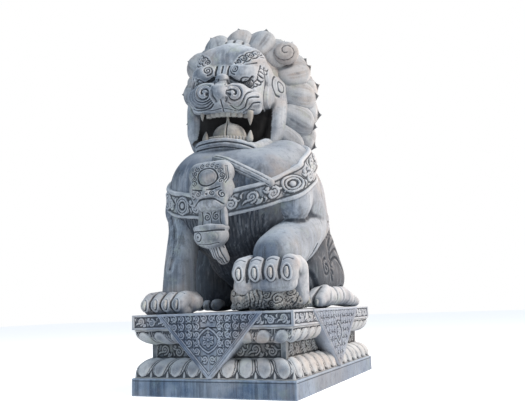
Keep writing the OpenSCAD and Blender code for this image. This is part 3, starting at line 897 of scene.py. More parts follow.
lion_x = (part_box("right_haunch")[0].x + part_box("left_haunch")[1].x) * 500  # in millimetres
middle_x = lion_x / 1000  # the same line in metres
body_stone = stone("body_stone", (0.055, 0.08, 0.125), (0.21, 0.25, 0.3), 0.75, 0.7, 0.0016)
# The belly's stone is painted darker low down: painted shade under the chest and between the legs,
# with staining.
belly_stone = stone("belly_stone", (0.055, 0.08, 0.125), (0.20, 0.23, 0.27), 0.8, 0.7, 0.0016, 0.93)


def build_trunk(carving, grow=0):
    """The masses of the trunk, as in the design; grow swells them for what lies on the chest."""
    g, x = grow, lion_x
    carving.lump(
        (x - 148, -252, 1090, 262 + g), (x + 60, -258, 1064, 262 + g), (x, -316, 1012, 250 + g)
    )
    carving.lump((x + 148, -265, 1044, 260 + g), (x, -316, 1012, 250 + g))
    carving.lump((x - 178, -190, 1118, 238 + g), (x - 60, -100, 1150, 200 + g))
    carving.lump(
        (x + 226, -104, 1192, 188 + g), (x + 120, -60, 1150, 220 + g),
        (x + 190, -210, 1080, 236 + g)
    )
    for s in (-1, 1):
        carving.lump((x + s * 135, -250, 1000, 262 + g), (x, -310, 860, 215 + g))
        carving.lump((x + s * 148, -230, 1064 - 8 * s, 262 + g), (x + s * 172, 20, 1080, 240 + g))
        carving.lump((x + s * 175, 20, 1060, 245 + g), (x + s * 160, 150, 780, 245 + g))
        carving.lump((x, -310, 860, 200 + g), (x + s * 120, 190, 700, 230 + g))
    carving.lump((x, -200, 1120, 205 + g), (x, -20, 1180, 215 + g))
    carving.lump((x, 150, 660, 240 + g), (x, 270, 650, 235 + g))


trunk = Carving(0.0076)
build_trunk(trunk)
trunk.lump((lion_x - 60, -250, 700, 120), (lion_x + 60, -250, 700, 120), (lion_x, 100, 560, 150))
trunk.lump((lion_x - 130, 60, 590, 170), (lion_x + 130, 60, 590, 170), (lion_x, 200, 540, 150))
trunk.skin(5)
dice = np.random.default_rng(11)
for i in range(66):
    x = middle_x - 0.240 + i * 0.0076
    low = 0.60 + 0.06 * dice.random()
    start = 0.985 - 0.4 * abs(x - middle_x) + 0.05 * dice.random()
    sway = dice.uniform(0.003, 0.008)
    t = np.linspace(0, 1, 16)
    drift = sway * np.sin(7 * t + 2 * i) + (middle_x - x) * 0.30 * t
    hair = np.column_stack([x + drift, start + (low - start) * t])
    trunk.groove(hair, 0.0046 + 0.0026 * dice.random(), 0.002 + 0.0022 * dice.random())
for s in (-1, 1):
    for k in range(5):
        flank = sweep(
            (-0.16 + 0.05 * k, 0.98 - 0.02 * k), (-0.05 + 0.05 * k, 0.84),
            (0.1 + 0.05 * k, 0.76 - 0.02 * k)
        )
        trunk.groove(flank, 0.012, 0.006, "left" if s > 0 else "right")
for k in range(9):
    z = 1.12 - 0.055 * k
    for s in (-1, 1):
        knuckle = sweep(
            (middle_x, z), (middle_x + s * 0.035, z - 0.012), (middle_x + s * 0.05, z - 0.04)
        )
        trunk.groove(knuckle, 0.01, 0.007, "back")
trunk.finish("trunk", belly_stone, replaces=["torso"], slot="body_stone")

# ---------------------------------------------------------------- forelegs
# The right foreleg stands straight. The left one folds back at the elbow and comes
# forward again to hold the cub down. Flame-like hair is cut at each elbow and heel.


def flames(carving, tips, root, face, half=0.009, depth=0.007):
    """Hair that fans out from near one root to a few tips, each lock's edge bowed."""
    for tip in tips:
        middle = (np.array(root) + np.array(tip)) / 2 + np.array([0.012, 0.016])
        carving.groove(sweep(root, middle, tip), half, depth, face)


right_leg = Carving(0.0058)
right_leg.lump((-318, -285, 1045, 136), (-324, -305, 985, 131))
right_leg.chain(
    (-320, -305, 985, 122), (-284, -400, 850, 92), (-272, -480, 640, 86), (-280, -478, 505, 92)
)
right_leg.lump((-375, -245, 1000, 62), (-392, -225, 930, 50), (-384, -240, 872, 26))
right_leg.lump((-300, -345, 830, 66), (-290, -350, 730, 40), (-285, -400, 700, 50))
right_leg.skin(6)
flames(right_leg, [(-0.33, 0.70), (-0.36, 0.75), (-0.31, 0.66)], (-0.42, 0.93), "right")
flames(right_leg, [(-0.40, 0.52), (-0.42, 0.56), (-0.43, 0.60)], (-0.47, 0.72), "right")
right_leg.groove(sweep((-0.345, 0.93), (-0.3, 0.85), (-0.28, 0.74), (-0.285, 0.64)), 0.022, 0.005)
right_leg.finish("right_foreleg", body_stone)

left_leg = Carving(0.0060)
left_leg.chain((294, -250, 1060, 146), (312, -140, 965, 134), (332, -40, 885, 114))
left_leg.lump((300, -262, 1050, 138), (342, -326, 962, 102))
left_leg.chain((332, -40, 885, 114), (314, -250, 775, 132), (290, -455, 680, 124))
left_leg.lump((345, 10, 850, 72), (350, 60, 800, 22))
left_leg.lump((350, -20, 905, 70), (362, 70, 890, 18))
left_leg.skin(4)
flames(left_leg, [(0.055, 0.80), (0.075, 0.84), (0.065, 0.88), (0.03, 0.78)], (-0.06, 0.88), "left")
flames(left_leg, [(-0.34, 0.62), (-0.31, 0.64), (-0.28, 0.66)], (-0.24, 0.74), "left")
left_leg.finish("left_foreleg", body_stone)

# ---------------------------------------------------------------- haunches and tail
# The folded hind legs, set against the seat, with bowed flame lines on the thigh.
# The tail lies up the back and ends in tufts like flames.

# The haunches' stone is painted darker low down: painted shade between the legs, with staining.
haunch_stone = stone(
    "haunch_stone", (0.055, 0.08, 0.125), (0.21, 0.25, 0.3), 0.9, 0.8, 0.0016, 0.84
)
for name, s, face in (("right_haunch", -1, "right"), ("left_haunch", 1, "left")):
    x = lion_x + s * 268
    leg = Carving(0.0070)
    leg.lump((x, -20, 618, 148), (lion_x + s * 266, 320, 590, 160))
    leg.chain(
        (x, -20, 618, 140), (lion_x + s * 262, 160, 790, 152), (lion_x + s * 266, 320, 590, 160)
    )
    leg.lump((x, 0, 545, 118), (lion_x + s * 266, 330, 520, 124))
    if s < 0:
        leg.lump((x - 6, 0, 720, 142), (x - 4, 90, 792, 146))
        leg.lump((x - 2, -40, 550, 146), (x, 60, 545, 140))
    leg.skin(6)
    leg.groove(sweep((-0.13, 0.6), (-0.02, 0.5), (0.16, 0.49), (0.3, 0.52)), 0.022, 0.014, face)
    for k in range(4):
        line = sweep(
            (0.34 - 0.03 * k, 0.62 + 0.06 * k), (0.2, 0.7 + 0.05 * k), (0.1, 0.62 + 0.05 * k),
            (0.13, 0.56 + 0.04 * k)
        )
        leg.groove(line, 0.011, 0.008, face)
    leg.groove(spiral(0.03, 0.63, 0.055, 1.5, 90, 1), 0.01, 0.008, face)
    leg.finish(name, haunch_stone, slot="body_stone")

tail = Carving(0.0056, (lion_x, 0, 0))
tail.chain((0, 500, 470, 70), (0, 500, 560, 74), (0, 440, 760, 62))
tail.lump((0, 440, 760, 64), (0, 330, 960, 58))
for s in (-1, 0, 1):
    tail.lump((s * 50, 330, 930, 52), (s * 105, 290, 1060 + (0 if s else 90), 20))
    tail.lump((s * 30, 450, 780, 46), (s * 120, 390, 880, 18))
tail.skin(5)
for s in (-2, -1, 0, 1, 2):
    x = 0.018 * s
    tail.groove(
        sweep((x, 0.42), (x - 0.01, 0.6), (x + 0.01, 0.78), (x, 0.92)), 0.009, 0.008, "back"
    )
for s in (-1, 1):
    for k in (0, 1, 2):
        up = [(0.02, 0.92), (0.04 + 0.02 * k, 0.99), (0.06 + 0.03 * k, 1.08 - 0.02 * k)]
        tail.groove(sweep(*up) * (s, 1), 0.008, 0.008, "back")
        side = [(0.03, 0.76), (0.07 + 0.01 * k, 0.80), (0.11 + 0.01 * k, 0.88 - 0.02 * k)]
        tail.groove(sweep(*side) * (s, 1), 0.008, 0.007, "back")
tail.finish("tail", body_stone)

# ---------------------------------------------------------------- paws
# Broad paws with four knuckled toes. Each claw stands in an oval ring of skin, and
# deep cuts part the toes. The left forepaw rests on the cub.

paw_stone = stone("paw_stone", (0.085, 0.11, 0.155), (0.28, 0.31, 0.35), 0.4, 0.8, 0.0012)
claw_stone = stone("claw_stone", (0.13, 0.155, 0.19), (0.36, 0.39, 0.41), 0.2, 0.6, 0.0005)


def forepaw(name, at, half, toe, turn, node, pads=()):
    """A forepaw round its own middle, turned into place. pads are extra masses below its toes."""
    place = Matrix.Translation(Vector(at) / 1000) @ turn
    paw = Carving(0.0034)
    paw.lump(
        *[(s * (half - 52), -10, 5, 52) for s in (-1, 1)],
        *[(s * (half - 62), 60, 10, 56) for s in (-1, 1)],
    )
    claws = Carving(0.0018)
    nail = (9, 4, 11), (2, -14, 10), (5, -34, 3)  # (behind the toe's skin, height, radius)
    for i in range(4):
        x = (i - 1.5) * (2 * half - 2 * toe) / 3
        paw.lump((x, -50, 14, toe), (x, -88, -12, toe * 0.92))
        paw.lump((x * 0.8, 20, 26, toe * 0.9), (x, -50, 14, toe))
        paw.lump((x, -62, -34, toe * 0.8), (x * 0.9, 10, -40, toe * 0.8))
    paw.lump((half - 22, 20, -10, 44), (half - 34, 70, 0, 40))
    for pad in pads:
        paw.lump(*pad)
    paw.skin(3)
    for i in range(4):
        x = (i - 1.5) * (2 * half - 2 * toe) / 3000
        reach = toe / 1000
        ring = arc(x, -0.012, 0.30 * reach, 0, 360, 26, 0.62 / 0.30)
        paw.groove(ring, 0.0052, 0.0075)
        skin = np.column_stack([x + (ring[:, 0] - x) * 1.55, ring[:, 1] * 1.22 + 0.002])
        paw.ridge(skin, 0.0060, 0.0030)
        paw.groove(
            sweep((x - 0.5 * reach, 0.044), (x, 0.052), (x + 0.5 * reach, 0.044)), 0.006, 0.003
        )
        front = paw.trace([(x, -0.010)])[0] * 1000
        claws.lump(*[(front[0], front[1] + y, z, r) for y, z, r in nail])
    for i in range(3):
        x = (i - 1) * (2 * half - 2 * toe) / 3000
        paw.groove(sweep((x, -0.04), (x, 0.0), (x, 0.04)), 0.0075, 0.0075)
        paw.groove(sweep((x, -0.12), (x, -0.06), (x * 0.85, 0.015)), 0.0085, 0.0085, "top")
    paw.finish(name, paw_stone, replaces=[node], turn=place)
    claws.skin(2)
    claws.finish(name + "_claws", claw_stone, replaces=["claws"], turn=place, reach=4)


left_turn = turned(6, "Z") @ turned(8, "X")
forepaw("right_forepaw", (-295, -520, top * 1000 + 60), 138, 42, turned(0, "Z"), "right_fore_paw")
left_pads = [
    [(-112, -92, -76, 50), (-96, -60, -60, 44)],
    [(-60, -70, -72, 40), (40, -76, -70, 44), (110, -60, -66, 46)],
    [(134, 36, -20, 56), (130, 48, -150, 50)],
]
forepaw("left_forepaw", (272, -512, 612), 172, 50, left_turn, "left_fore_paw", left_pads)

base = top * 1000  # the slab's top, in millimetres
for name, x in (("right_hind_paw", -318), ("left_hind_paw", 318)):
    foot = Carving(0.0046, (0, 0, base))
    claws = Carving(0.0018, (0, 0, base))
    knuckles = [(x + s * 36, -20, 66, 58) for s in (-1, 1)]
    ankle = [(x * 1.04 + s * 34, 350, 74, 58) for s in (-1, 1)]
    heel = [(x * 1.10 + s * 36, 592, 32, 32) for s in (-1, 1)]
    foot.lump(*knuckles, *ankle)
    foot.lump(*ankle, *heel)
    for i in range(4):
        toe = x + (i - 1.5) * 53
        foot.lump((toe, -80, 66, 36), (toe + (i - 1.5) * 3, -150, 40, 34))
        instep = (x + (i - 1.5) * 40, 20, 100, 36)
        foot.chain((toe, -80, 72, 34), instep, (x + (i - 1.5) * 26, 240, 70, 34))
        claws.lump((toe, -182, 42, 9), (toe, -186, 30, 9), (toe, -182, 14, 3))
    foot.skin(4)
    for i in range(3):
        gap = (x + (i - 1) * 54) / 1000
        foot.groove(sweep((gap, 0.005), (gap, 0.05), (gap, 0.09)), 0.01, 0.01)
        foot.groove(sweep((gap, -0.17), (gap, -0.1), (gap, -0.03)), 0.01, 0.01, "top")
    for k in range(5):
        y = 0.02 + 0.115 * k
        for face in ("left", "right"):
            fold = sweep((y, 0.005), (y + 0.010, 0.05), (y + 0.004, 0.10), (y + 0.02, 0.13))
            foot.groove(fold, 0.015, 0.01, face)
    foot.finish(name, paw_stone)
    claws.skin(2)
    claws.finish(name + "_claws", claw_stone, replaces=["claws"], reach=4)

# ---------------------------------------------------------------- cub
# The cub lies on its back under the left forepaw: its head looks out on the inner
# side, and its curly haunch fills the outer side.

cub_stone = stone("cub_stone", (0.045, 0.055, 0.07), (0.19, 0.205, 0.215), 0.6, 0.7, 0.0018)
cub = Carving(0.0036, (0, 0, base))
cub.lump((215, -560, 62, 60), (330, -500, 66, 66))
cub.lump((330, -500, 66, 66), (375, -440, 58, 56))
cub.lump((340, -520, 40, 40), (330, -590, 32, 26))
cub.lump((390, -430, 70, 40), (398, -370, 40, 34))
cub.lump((190, -600, 46, 26), (122, -618, 24, 20))
cub.lump((240, -590, 96, 26), (205, -618, 70, 22))
cub.lump((385, -400, 24, 24), (330, -330, 22, 16))
cub.lump((320, -560, 60, 46), (270, -575, 50, 44))
cub.skin(4)
for x, z, r, hand in (
    (0.345, 0.055, 0.030, 1), (0.290, 0.075, 0.024, -1),
    (0.385, 0.085, 0.022, -1), (0.315, 0.030, 0.018, 1),
):
    cub.groove(spiral(x, z, r, 1.6, 90, hand), 0.0055, 0.006)
for k in range(4):
    rib = sweep((0.20, 0.02), (0.215, 0.06), (0.205, 0.10)) + (0.02 * k, 0)
    cub.groove(rib, 0.005, 0.005)
    rump = sweep((-0.50, 0.02), (-0.49, 0.06), (-0.46, 0.09)) + (0.05 * k, 0)
    cub.groove(rump, 0.006, 0.006, "left")
cub.proud += 0.0016 * ripple(cub.co, 21, 0.022) + 0.0008 * ripple(cub.co, 22, 0.010)
cub.finish(
    "cub", cub_stone, replaces=["cub_body", "cub_forelegs", "cub_hind_legs", "cub_tail"], reach=7
)

cub_head = Carving(0.0026, (0, 0, base))
cub_head.lump((150, -578, 72, 60), (166, -566, 76, 60))
cub_head.lump((142, -612, 52, 33), (160, -606, 56, 34))
cub_head.lump((128, -560, 128, 14), (136, -566, 108, 20))
cub_head.lump((186, -560, 128, 14), (180, -566, 108, 20))
cub_head.lump((148, -640, 62, 12), (160, -638, 62, 12))
cub_head.skin(3)
for x in (0.128, 0.176):
    cub_head.boss((x, 0.088), 0.01, 0.005)
    cub_head.groove(arc(x, 0.088, 0.013, 0, 360, 20), 0.004, 0.004)
    cub_head.groove(sweep((x - 0.014, 0.108), (x, 0.114), (x + 0.014, 0.106)), 0.004, 0.003)
cub_lip = sweep((0.120, 0.044), (0.140, 0.032), (0.154, 0.042), (0.168, 0.032), (0.188, 0.046))
cub_head.groove(cub_lip, 0.0045, 0.006)
cub_head.proud += 0.0012 * ripple(cub_head.co, 23, 0.018)
cub_head.finish("cub_head", cub_stone, reach=6)

# ---------------------------------------------------------------- harness
# A broad collar in low relief: raised edges, leaf scrolls and round medallions. It
# climbs to the nape. A lion mask hangs in its middle and bites the strap of a round bell.

harness_stone = stone("harness_stone", (0.08, 0.105, 0.14), (0.27, 0.3, 0.34), 0.45, 0.7, 0.0012)
tilt = math.radians(32)
collar_mid = np.array([middle_x, -0.470, 1.006])
collar_way = np.array([0.0, -math.sin(tilt), math.cos(tilt)])
collar_half = 0.064
collar = Carving(0.0050)
build_trunk(collar, 16)
collar.lump((294, -250, 1060, 162), (312, -140, 965, 150))
collar.lump((300, -262, 1050, 150), (342, -326, 962, 109))
collar.lump((-300, -285, 1045, 142), (-304, -305, 985, 138))
collar.skin(
    7,
    [
        (collar_mid + collar_way * collar_half, collar_way),
        (collar_mid - collar_way * collar_half, -collar_way),
    ],
    0.022
)
across = (collar.co - collar_mid) @ collar_way
round_body = np.arctan2(collar.co[:, 0] - middle_x, -(collar.co[:, 1] + 0.06)) * 0.43
edge = np.clip(1 - np.abs(np.abs(across) - 0.055) / 0.009, 0, 1) ** 0.5
collar.proud = np.maximum(collar.proud, 0.005 * edge)
collar.cut = 0.002 * np.clip(1 - np.abs(np.abs(across) - 0.042) / 0.004, 0, 1)
half_turn = math.pi * 0.43
leaves = running_scroll(-0.042, 0.042, -half_turn, half_turn, 0.094, 0.004)
for line in leaves:
    line[:, 2] *= 1.35
inside = np.abs(across) < 0.044
collar.proud[inside] = np.maximum(
    collar.proud[inside], 0.0065 * cut_height(round_body[inside], across[inside], leaves)
)
for x in (0.375, -0.375, -0.225, 0.170):
    y = -0.40
    for _ in range(5):
        spot = collar.trace([(x, collar_mid[2] + math.tan(tilt) * (y - collar_mid[1]))])
        y = spot[0][1] if len(spot) else y
    if len(spot):
        middle = (spot[0][0], spot[0][2])
        collar.boss(middle, 0.046, -0.004)
        for radius in (0.044, 0.030):
            collar.ridge(arc(*middle, radius, 0, 360, 30), 0.0065, 0.009)
        collar.boss(middle, 0.018, 0.010)
collar.finish("collar", harness_stone, replaces=["harness_collar"])

ribbon = Carving(0.0030)
route = [
    (-36, -468, 1222), (40, -500, 1192), (114, -518, 1150),
    (180, -512, 1112), (234, -498, 1080), (278, -478, 1052),
]
ribbon.chain(*[(*place, 27) for place in route])
ribbon.skin(3)
middle_line = sweep(*[(x / 1000, z / 1000) for x, y, z in route])
for drop in (-0.014, 0.014):
    ribbon.groove(middle_line + (0, drop), 0.005, 0.004)
ribbon.finish("harness_ribbon", harness_stone, replaces=["harness_collar"], reach=6)

mask_x = lion_x + 3
mask = Carving(0.0028, (mask_x, -572, 1056))
mask.lump((-64, 14, 66, 66), (64, 14, 66, 66))
mask.lump((-58, 14, -20, 70), (58, 14, -20, 70))
mask.lump((-42, 6, -88, 50), (42, 6, -88, 50))
mask.lump((-44, -8, -48, 42), (44, -8, -48, 42))
mask.egg((8, -26, 36), (58, 40, 44))
for s in (-1, 1):
    mask.lump((s * 20, -42, -22, 17), (s * 74, -30, -12, 19))
    mask.egg((s * 40, -42, -54), (34, 24, 20))
    mask.lump((s * 92, 4, 96, 22), (s * 104, 10, 64, 18))
    mask.lump((s * 80, -12, -40, 30), (s * 74, -8, -90, 24))
mask.lump((0, -50, -36, 22), (0, -56, -50, 24))
mask.lump((-34, -26, -100, 22), (34, -26, -100, 22))
mask.skin(3)
mask.groove(arc(0.008, 0.036, 0.058, 0, 360, 36, 0.8), 0.0062, 0.0075)
for k in range(11):
    angle = -20 + 22 * k
    c = arc(0.008, 0.034, 0.080, angle, angle, 1, 0.85)[0]
    mask.groove(spiral(c[0], c[1], 0.015, 1.3, angle, 1), 0.0042, 0.0055)
lip_line = sweep((-0.088, -0.112), (-0.045, -0.082), (0, -0.076), (0.045, -0.082), (0.088, -0.112))
mask.groove(lip_line, 0.0065, 0.006)
for s in (-1, 1):
    mask.groove(spiral(s * 0.042, -0.052, 0.017, 1.5, 90, s), 0.0044, 0.0065)
    mask.groove(sweep((s * 0.012, -0.034), (s * 0.045, -0.03), (s * 0.08, -0.022)), 0.005, 0.0065)
    mask.groove(spiral(s * 0.086, -0.06, 0.019, 1.3, 90, s), 0.0044, 0.0055)
    for k in range(3):
        ends = (
            (0.088 + 0.008 * k, 0.02 - 0.01 * k), (0.108 + 0.004 * k, 0.05),
            (0.104 + 0.004 * k, 0.09)
        )
        mask.groove(sweep(*ends) * (s, 1), 0.0042, 0.0050)
    mask.boss((s * 0.013, -0.058), 0.007, -0.008)
mask.finish("chest_mask", harness_stone, reach=7)

strap = Carving(0.0030, (mask_x, 0, 0))
strap.lump(*[(s * 60, -548, z, 24) for s in (-1, 1) for z in (925, 850)])
for s in (-1, 1):
    strap.lump((s * 64, -560, 940, 17), (s * 70, -556, 850, 17))
strap.skin(3)
for s in (-1, 1):
    strap.groove(spiral(s * 0.026, 0.892, 0.022, 1.5, 90, s), 0.0052, 0.0065)
    strap.groove(sweep((s * 0.054, 0.925), (s * 0.05, 0.885), (s * 0.056, 0.85)), 0.0045, 0.005)
strap.groove(sweep((0, 0.925), (0, 0.85)), 0.0045, 0.005)
strap.finish("mask_strap", harness_stone, reach=6)

bell_low, bell_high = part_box("bell")
bell_x = (bell_low.x + bell_high.x) * 500
bell = Carving(0.0032, (bell_x, -545, 0))
bell.egg((0, 0, 795), (97, 78, 67))
around = np.linspace(0, 2 * math.pi, 16)
bell.lump(*[(88 * math.cos(a), 70 * math.sin(a), 835, 13) for a in around])
bell.skin(3)
bell.groove(sweep((-0.098, 0.818), (0, 0.812), (0.098, 0.818)), 0.006, 0.0055)
for s in (-1, 1):
    hub = (s * 0.044, 0.786)
    bell.boss(hub, 0.008, -0.0045 + s * 0.003)
    bell.groove(arc(hub[0], hub[1], 0.023, 0, 360, 26), 0.0056, 0.0036 - s * 0.0024)
bell.groove(sweep((-0.06, 0.752), (0, 0.744), (0.06, 0.752)), 0.0055, 0.007)
bell.finish("bell", harness_stone, reach=6)

tassel = Carving(0.0034, (lion_x, 0, 0))
tassel.lump((0, -520, 745, 44), (14, -470, 680, 34))
tassel.lump((0, -540, 738, 26), (6, -520, 700, 30))
tassel.skin(3)
for k in range(7):
    x = -0.036 + 0.013 * k
    tassel.groove(sweep((x, 0.745), (x + 0.006, 0.7), (x + 0.01, 0.655)), 0.005, 0.0055)
tassel.finish("bell_tassel", harness_stone, reach=6)

# ---------------------------------------------------------------- head
# The head is turned a little towards the cub's side and tipped. The forehead is a
# smooth dome over sausage brows that end in spirals; smooth rolls run down the cheeks.

head_stone = stone("head_stone", (0.08, 0.105, 0.145), (0.27, 0.305, 0.35), 0.35, 0.85, 0.0013)
head_place = Matrix.Translation((middle_x - 0.048, -0.150, 1.604))
head_turn = head_place @ turned(11, "Z") @ turned(5, "Y") @ turned(4, "X")

head = Carving(0.0043)
head.lump((-60, -80, 130, 190), (66, -80, 130, 190))
head.lump((14, -146, 232, 124), (-75, -160, 205, 120), (105, -150, 205, 122))
head.lump((-150, -120, 40, 104), (-150, -60, 60, 108))
head.lump((150, -130, 40, 108), (162, -60, 60, 112))
for s in (-1, 1):
    head.lump((s * 150, -10, 20, 100), (s * 150, 10, -190, 96))
head.lump((-70, 40, 30, 150), (70, 40, 30, 150), (-70, 40, -200, 140), (70, 40, -200, 140))
head.lump(
    (-126, -345, -150, 76), (150, -345, -146, 78), (-118, -152, -142, 66), (146, -150, -132, 70),
    hole=True
)
head.lump((165, -148, -112, 62), (178, -132, -95, 50), hole=True)
head.chain(
    (76, -272, 148, 40), (108, -268, 138, 52), (146, -248, 140, 52),
    (182, -204, 158, 40), (200, -164, 186, 28),
)
head.chain(
    (-82, -268, 150, 40), (-108, -262, 141, 52), (-138, -238, 142, 50),
    (-168, -190, 158, 40), (-186, -146, 186, 28),
)
head.lump((-22, -262, 128, 30), (26, -262, 128, 30), (2, -250, 165, 40))
head.egg((146, -232, 84), (44, 34, 32))
head.egg((-134, -222, 88), (42, 34, 32))
head.lump((150, -205, 20, 60), (190, -150, 40, 60))
head.lump((-146, -195, 26, 58), (-178, -140, 44, 56))
head.lump((240, -20, 180, 34), (262, -26, 110, 54), (268, -34, -20, 62))
head.chain((268, -34, -20, 62), (258, -54, -160, 58), (232, -86, -250, 44))
head.chain((-234, -34, 112, 50), (-238, -38, -20, 56), (-226, -54, -160, 54), (-190, -96, -250, 42))
head.lump((246, -72, 150, 26), (254, -70, 100, 34), (250, -72, 62, 24))
head.lump((-218, -72, 150, 26), (-224, -72, 100, 32), (-220, -74, 62, 22))
head.skin(4)

for s, inner, outer in ((1, 0.076, 0.186), (-1, -0.082, -0.170)):
    head.groove(spiral(inner, 0.152, 0.030, 1.9, -90, -s), 0.0058, 0.0085)
    under = sweep(
        (inner - s * 0.032, 0.112), (inner + s * 0.016, 0.088),
        (inner + s * 0.065, 0.084), (outer - s * 0.012, 0.110),
    )
    head.groove(under, 0.011, 0.018)
    above = sweep((inner + s * 0.030, 0.178), (inner + s * 0.070, 0.188), (outer, 0.204))
    head.groove(above, 0.006, 0.004)
    for k in range(4):
        x = inner + s * (0.010 + 0.034 * k)
        z = 0.206 + 0.022 * k
        head.groove(spiral(x, z, 0.0185, 1.5, 200, s), 0.0056, 0.01)
        tuft = sweep(
            (x + s * 0.002, z + 0.022), (x + s * 0.018, z + 0.036), (x + s * 0.04, z + 0.04)
        )
        head.groove(tuft, 0.0054, 0.009)
        low = sweep(
            (x + s * 0.01, z - 0.024), (x + s * 0.028, z - 0.016), (x + s * 0.038, z + 0.002)
        )
        head.groove(low, 0.005, 0.0085)
    eye = (inner + s * 0.066, 0.082)
    head.groove(arc(eye[0], eye[1], 0.036, 0, 360, 34, 0.62), 0.007, 0.012)
    head.groove(arc(eye[0], eye[1], 0.014, 0, 360, 20), 0.0046, 0.006)
lash = sweep((0.15, 0.062), (0.176, 0.082), (0.194, 0.116), (0.204, 0.156), (0.204, 0.19), count=21)
for line, out, far in ((lash, 0.014, 0.026), (lash * (-1, 1) + (0.012, 0.004), -0.012, -0.022)):
    head.groove(line, 0.0075, 0.0080)
    for a in line[:-1:3]:
        hook = sweep(a, a + (out, -0.006), a + (far, 0.002), a + (far, 0.014))
        head.groove(hook, 0.0056, 0.0090)
for x in (-0.040, -0.004, 0.032):
    head.groove(sweep((x, 0.126), (x + 0.002, 0.15), (x + 0.006, 0.176)), 0.0075, 0.01)
for face in ("left", "right"):
    head.groove(arc(-0.078, 0.108, 0.040, 100, 260, 20, 1.5), 0.0090, 0.0040, face)
    head.groove(arc(-0.072, 0.108, 0.016, 0, 360, 20, 2.0), 0.0080, 0.0035, face)
head.groove(sweep((0.222, 0.175), (0.228, 0.1), (0.226, 0.02), (0.218, -0.06)), 0.024, 0.009)
head.groove(sweep((-0.2, 0.165), (-0.202, 0.08), (-0.198, 0.0)), 0.02, 0.008)
# Painted shade: the inside of the open mouth is marked so that its stone is painted near black.
mouth_mid = np.array([0.03, -0.19, -0.14])
x, y, z = head.co.T
inside = ((mouth_mid - head.co) * head.no).sum(1) > 0
inside &= (np.abs(x - mouth_mid[0]) < 0.22) & (z > -0.262) & (z < -0.02)
mouth_painted_shade = np.where(inside, 1.2 * np.clip((y + 0.255) / 0.07, 0, 1), 0)
head.finish(
    "head", head_stone, replaces=["skull", "brows", "jowls", "ears"], turn=head_turn,
    darkening=mouth_painted_shade
)

# The eyes' stone is near black: painted shade for the eyes sunk under the brows.
eye_stone = stone("eye_stone", (0.02, 0.024, 0.03), (0.06, 0.07, 0.085), 0.1, 0.4, 0.0004)
eyes = Carving(0.0024)
for x, y, z in ((142, -252, 80), (-136, -240, 84)):
    eyes.egg((x, y, z), (30, 22, 22))
eyes.skin(2)
for x, z in ((0.142, 0.080), (-0.136, 0.084)):
    eyes.groove(arc(x, z, 0.012, 0, 360, 24), 0.0034, 0.003)
    eyes.boss((x, z), 0.006, -0.004)
eyes.finish("eyes", eye_stone, turn=head_turn, reach=5)

# ---------------------------------------------------------------- muzzle
# A bulbous nose between two great nostril spirals. Whisker lines sweep in bands
# under each spiral and flick up at their ends, over a straight upper lip.

muzzle = Carving(0.0026)
muzzle.lump((-98, -268, 14, 74), (92, -270, 6, 74), (10, -284, 10, 70))
muzzle.lump((92, -276, 4, 68), (166, -212, -4, 56))
muzzle.lump((-98, -272, 14, 68), (-178, -205, 18, 54))
muzzle.lump((-104, -240, -42, 42), (14, -262, -40, 44), (120, -242, -44, 42))
muzzle.lump((120, -242, -44, 42), (178, -190, -46, 34))
muzzle.lump((-104, -240, -42, 42), (-170, -190, -40, 34))
muzzle.lump((-14, -330, 32, 36), (42, -330, 32, 36), (14, -352, 12, 42))
muzzle.lump((2, -262, 100, 40), (10, -312, 44, 38))
muzzle.egg((3, -288, 102), (42, 36, 32))
muzzle.lump((-30, -330, 14, 30), (-62, -318, 14, 32))
muzzle.lump((58, -330, 8, 30), (74, -322, 6, 32))
muzzle.skin(3)
for s in (-1, 1):
    beside = sweep((0.026, 0.086), (0.040, 0.062), (0.050, 0.030), (0.046, -0.006), (0.030, -0.036))
    muzzle.groove(beside * (s, 1) + (0.014, 0), 0.0130, 0.0100)
whiskers = [
    [
        (0.053, -0.043), (0.087, -0.062), (0.117, -0.054), (0.137, -0.03), (0.15, 0.0),
        (0.165, 0.026), (0.188, 0.046)
    ],
    [
        (0.06, -0.056), (0.096, -0.075), (0.132, -0.064), (0.149, -0.04), (0.16, -0.018),
        (0.178, -0.003), (0.206, 0.006)
    ],
    [
        (0.078, -0.078), (0.112, -0.086), (0.146, -0.072), (0.164, -0.052), (0.182, -0.034),
        (0.212, -0.024)
    ],
]
for k in range(1, 5):
    wide, tall = 0.048 + 0.017 * k, 0.042 + 0.011 * k
    band = arc(-0.088 - 0.35 * (wide - 0.048), 0.016, wide, 160, 312, 30, tall / wide)
    muzzle.groove(band, 0.0062, 0.0120)
for s, cx, cz in ((1, 0.086, 0.004), (-1, -0.088, 0.014)):
    t = np.linspace(0, 1, 60)
    angle = np.radians(135 - 520 * (1 - t))
    radius = 0.010 + 0.044 * t ** 0.8
    coil = np.column_stack([cx + s * radius * np.cos(angle), cz + radius * np.sin(angle)])
    muzzle.groove(coil, 0.008, 0.016)
    muzzle.boss((cx - s * 0.022, cz - 0.008), 0.015, -0.026)
for line in whiskers:
    muzzle.groove(sweep(*line, count=48), 0.0068, 0.0125)
for k in range(3):
    z = 0.058 + 0.014 * k
    muzzle.groove(sweep((-0.03, z + 0.008), (0.006, z), (0.042, z + 0.006)), 0.005, 0.004)
muzzle.groove(sweep((-0.04, 0.082), (-0.03, 0.064), (-0.034, 0.044)), 0.006, 0.006)
muzzle.groove(sweep((0.048, 0.08), (0.04, 0.062), (0.048, 0.042)), 0.006, 0.006)
muzzle.groove(sweep((0.014, -0.03), (0.014, -0.05), (0.014, -0.08)), 0.007, 0.008)
muzzle.groove(
    sweep((-0.15, -0.064), (-0.06, -0.074), (0.014, -0.066), (0.09, -0.076), (0.176, -0.066)),
    0.005, 0.0055
)
muzzle.finish("muzzle", head_stone, replaces=["muzzle", "nose"], turn=head_turn, reach=7)

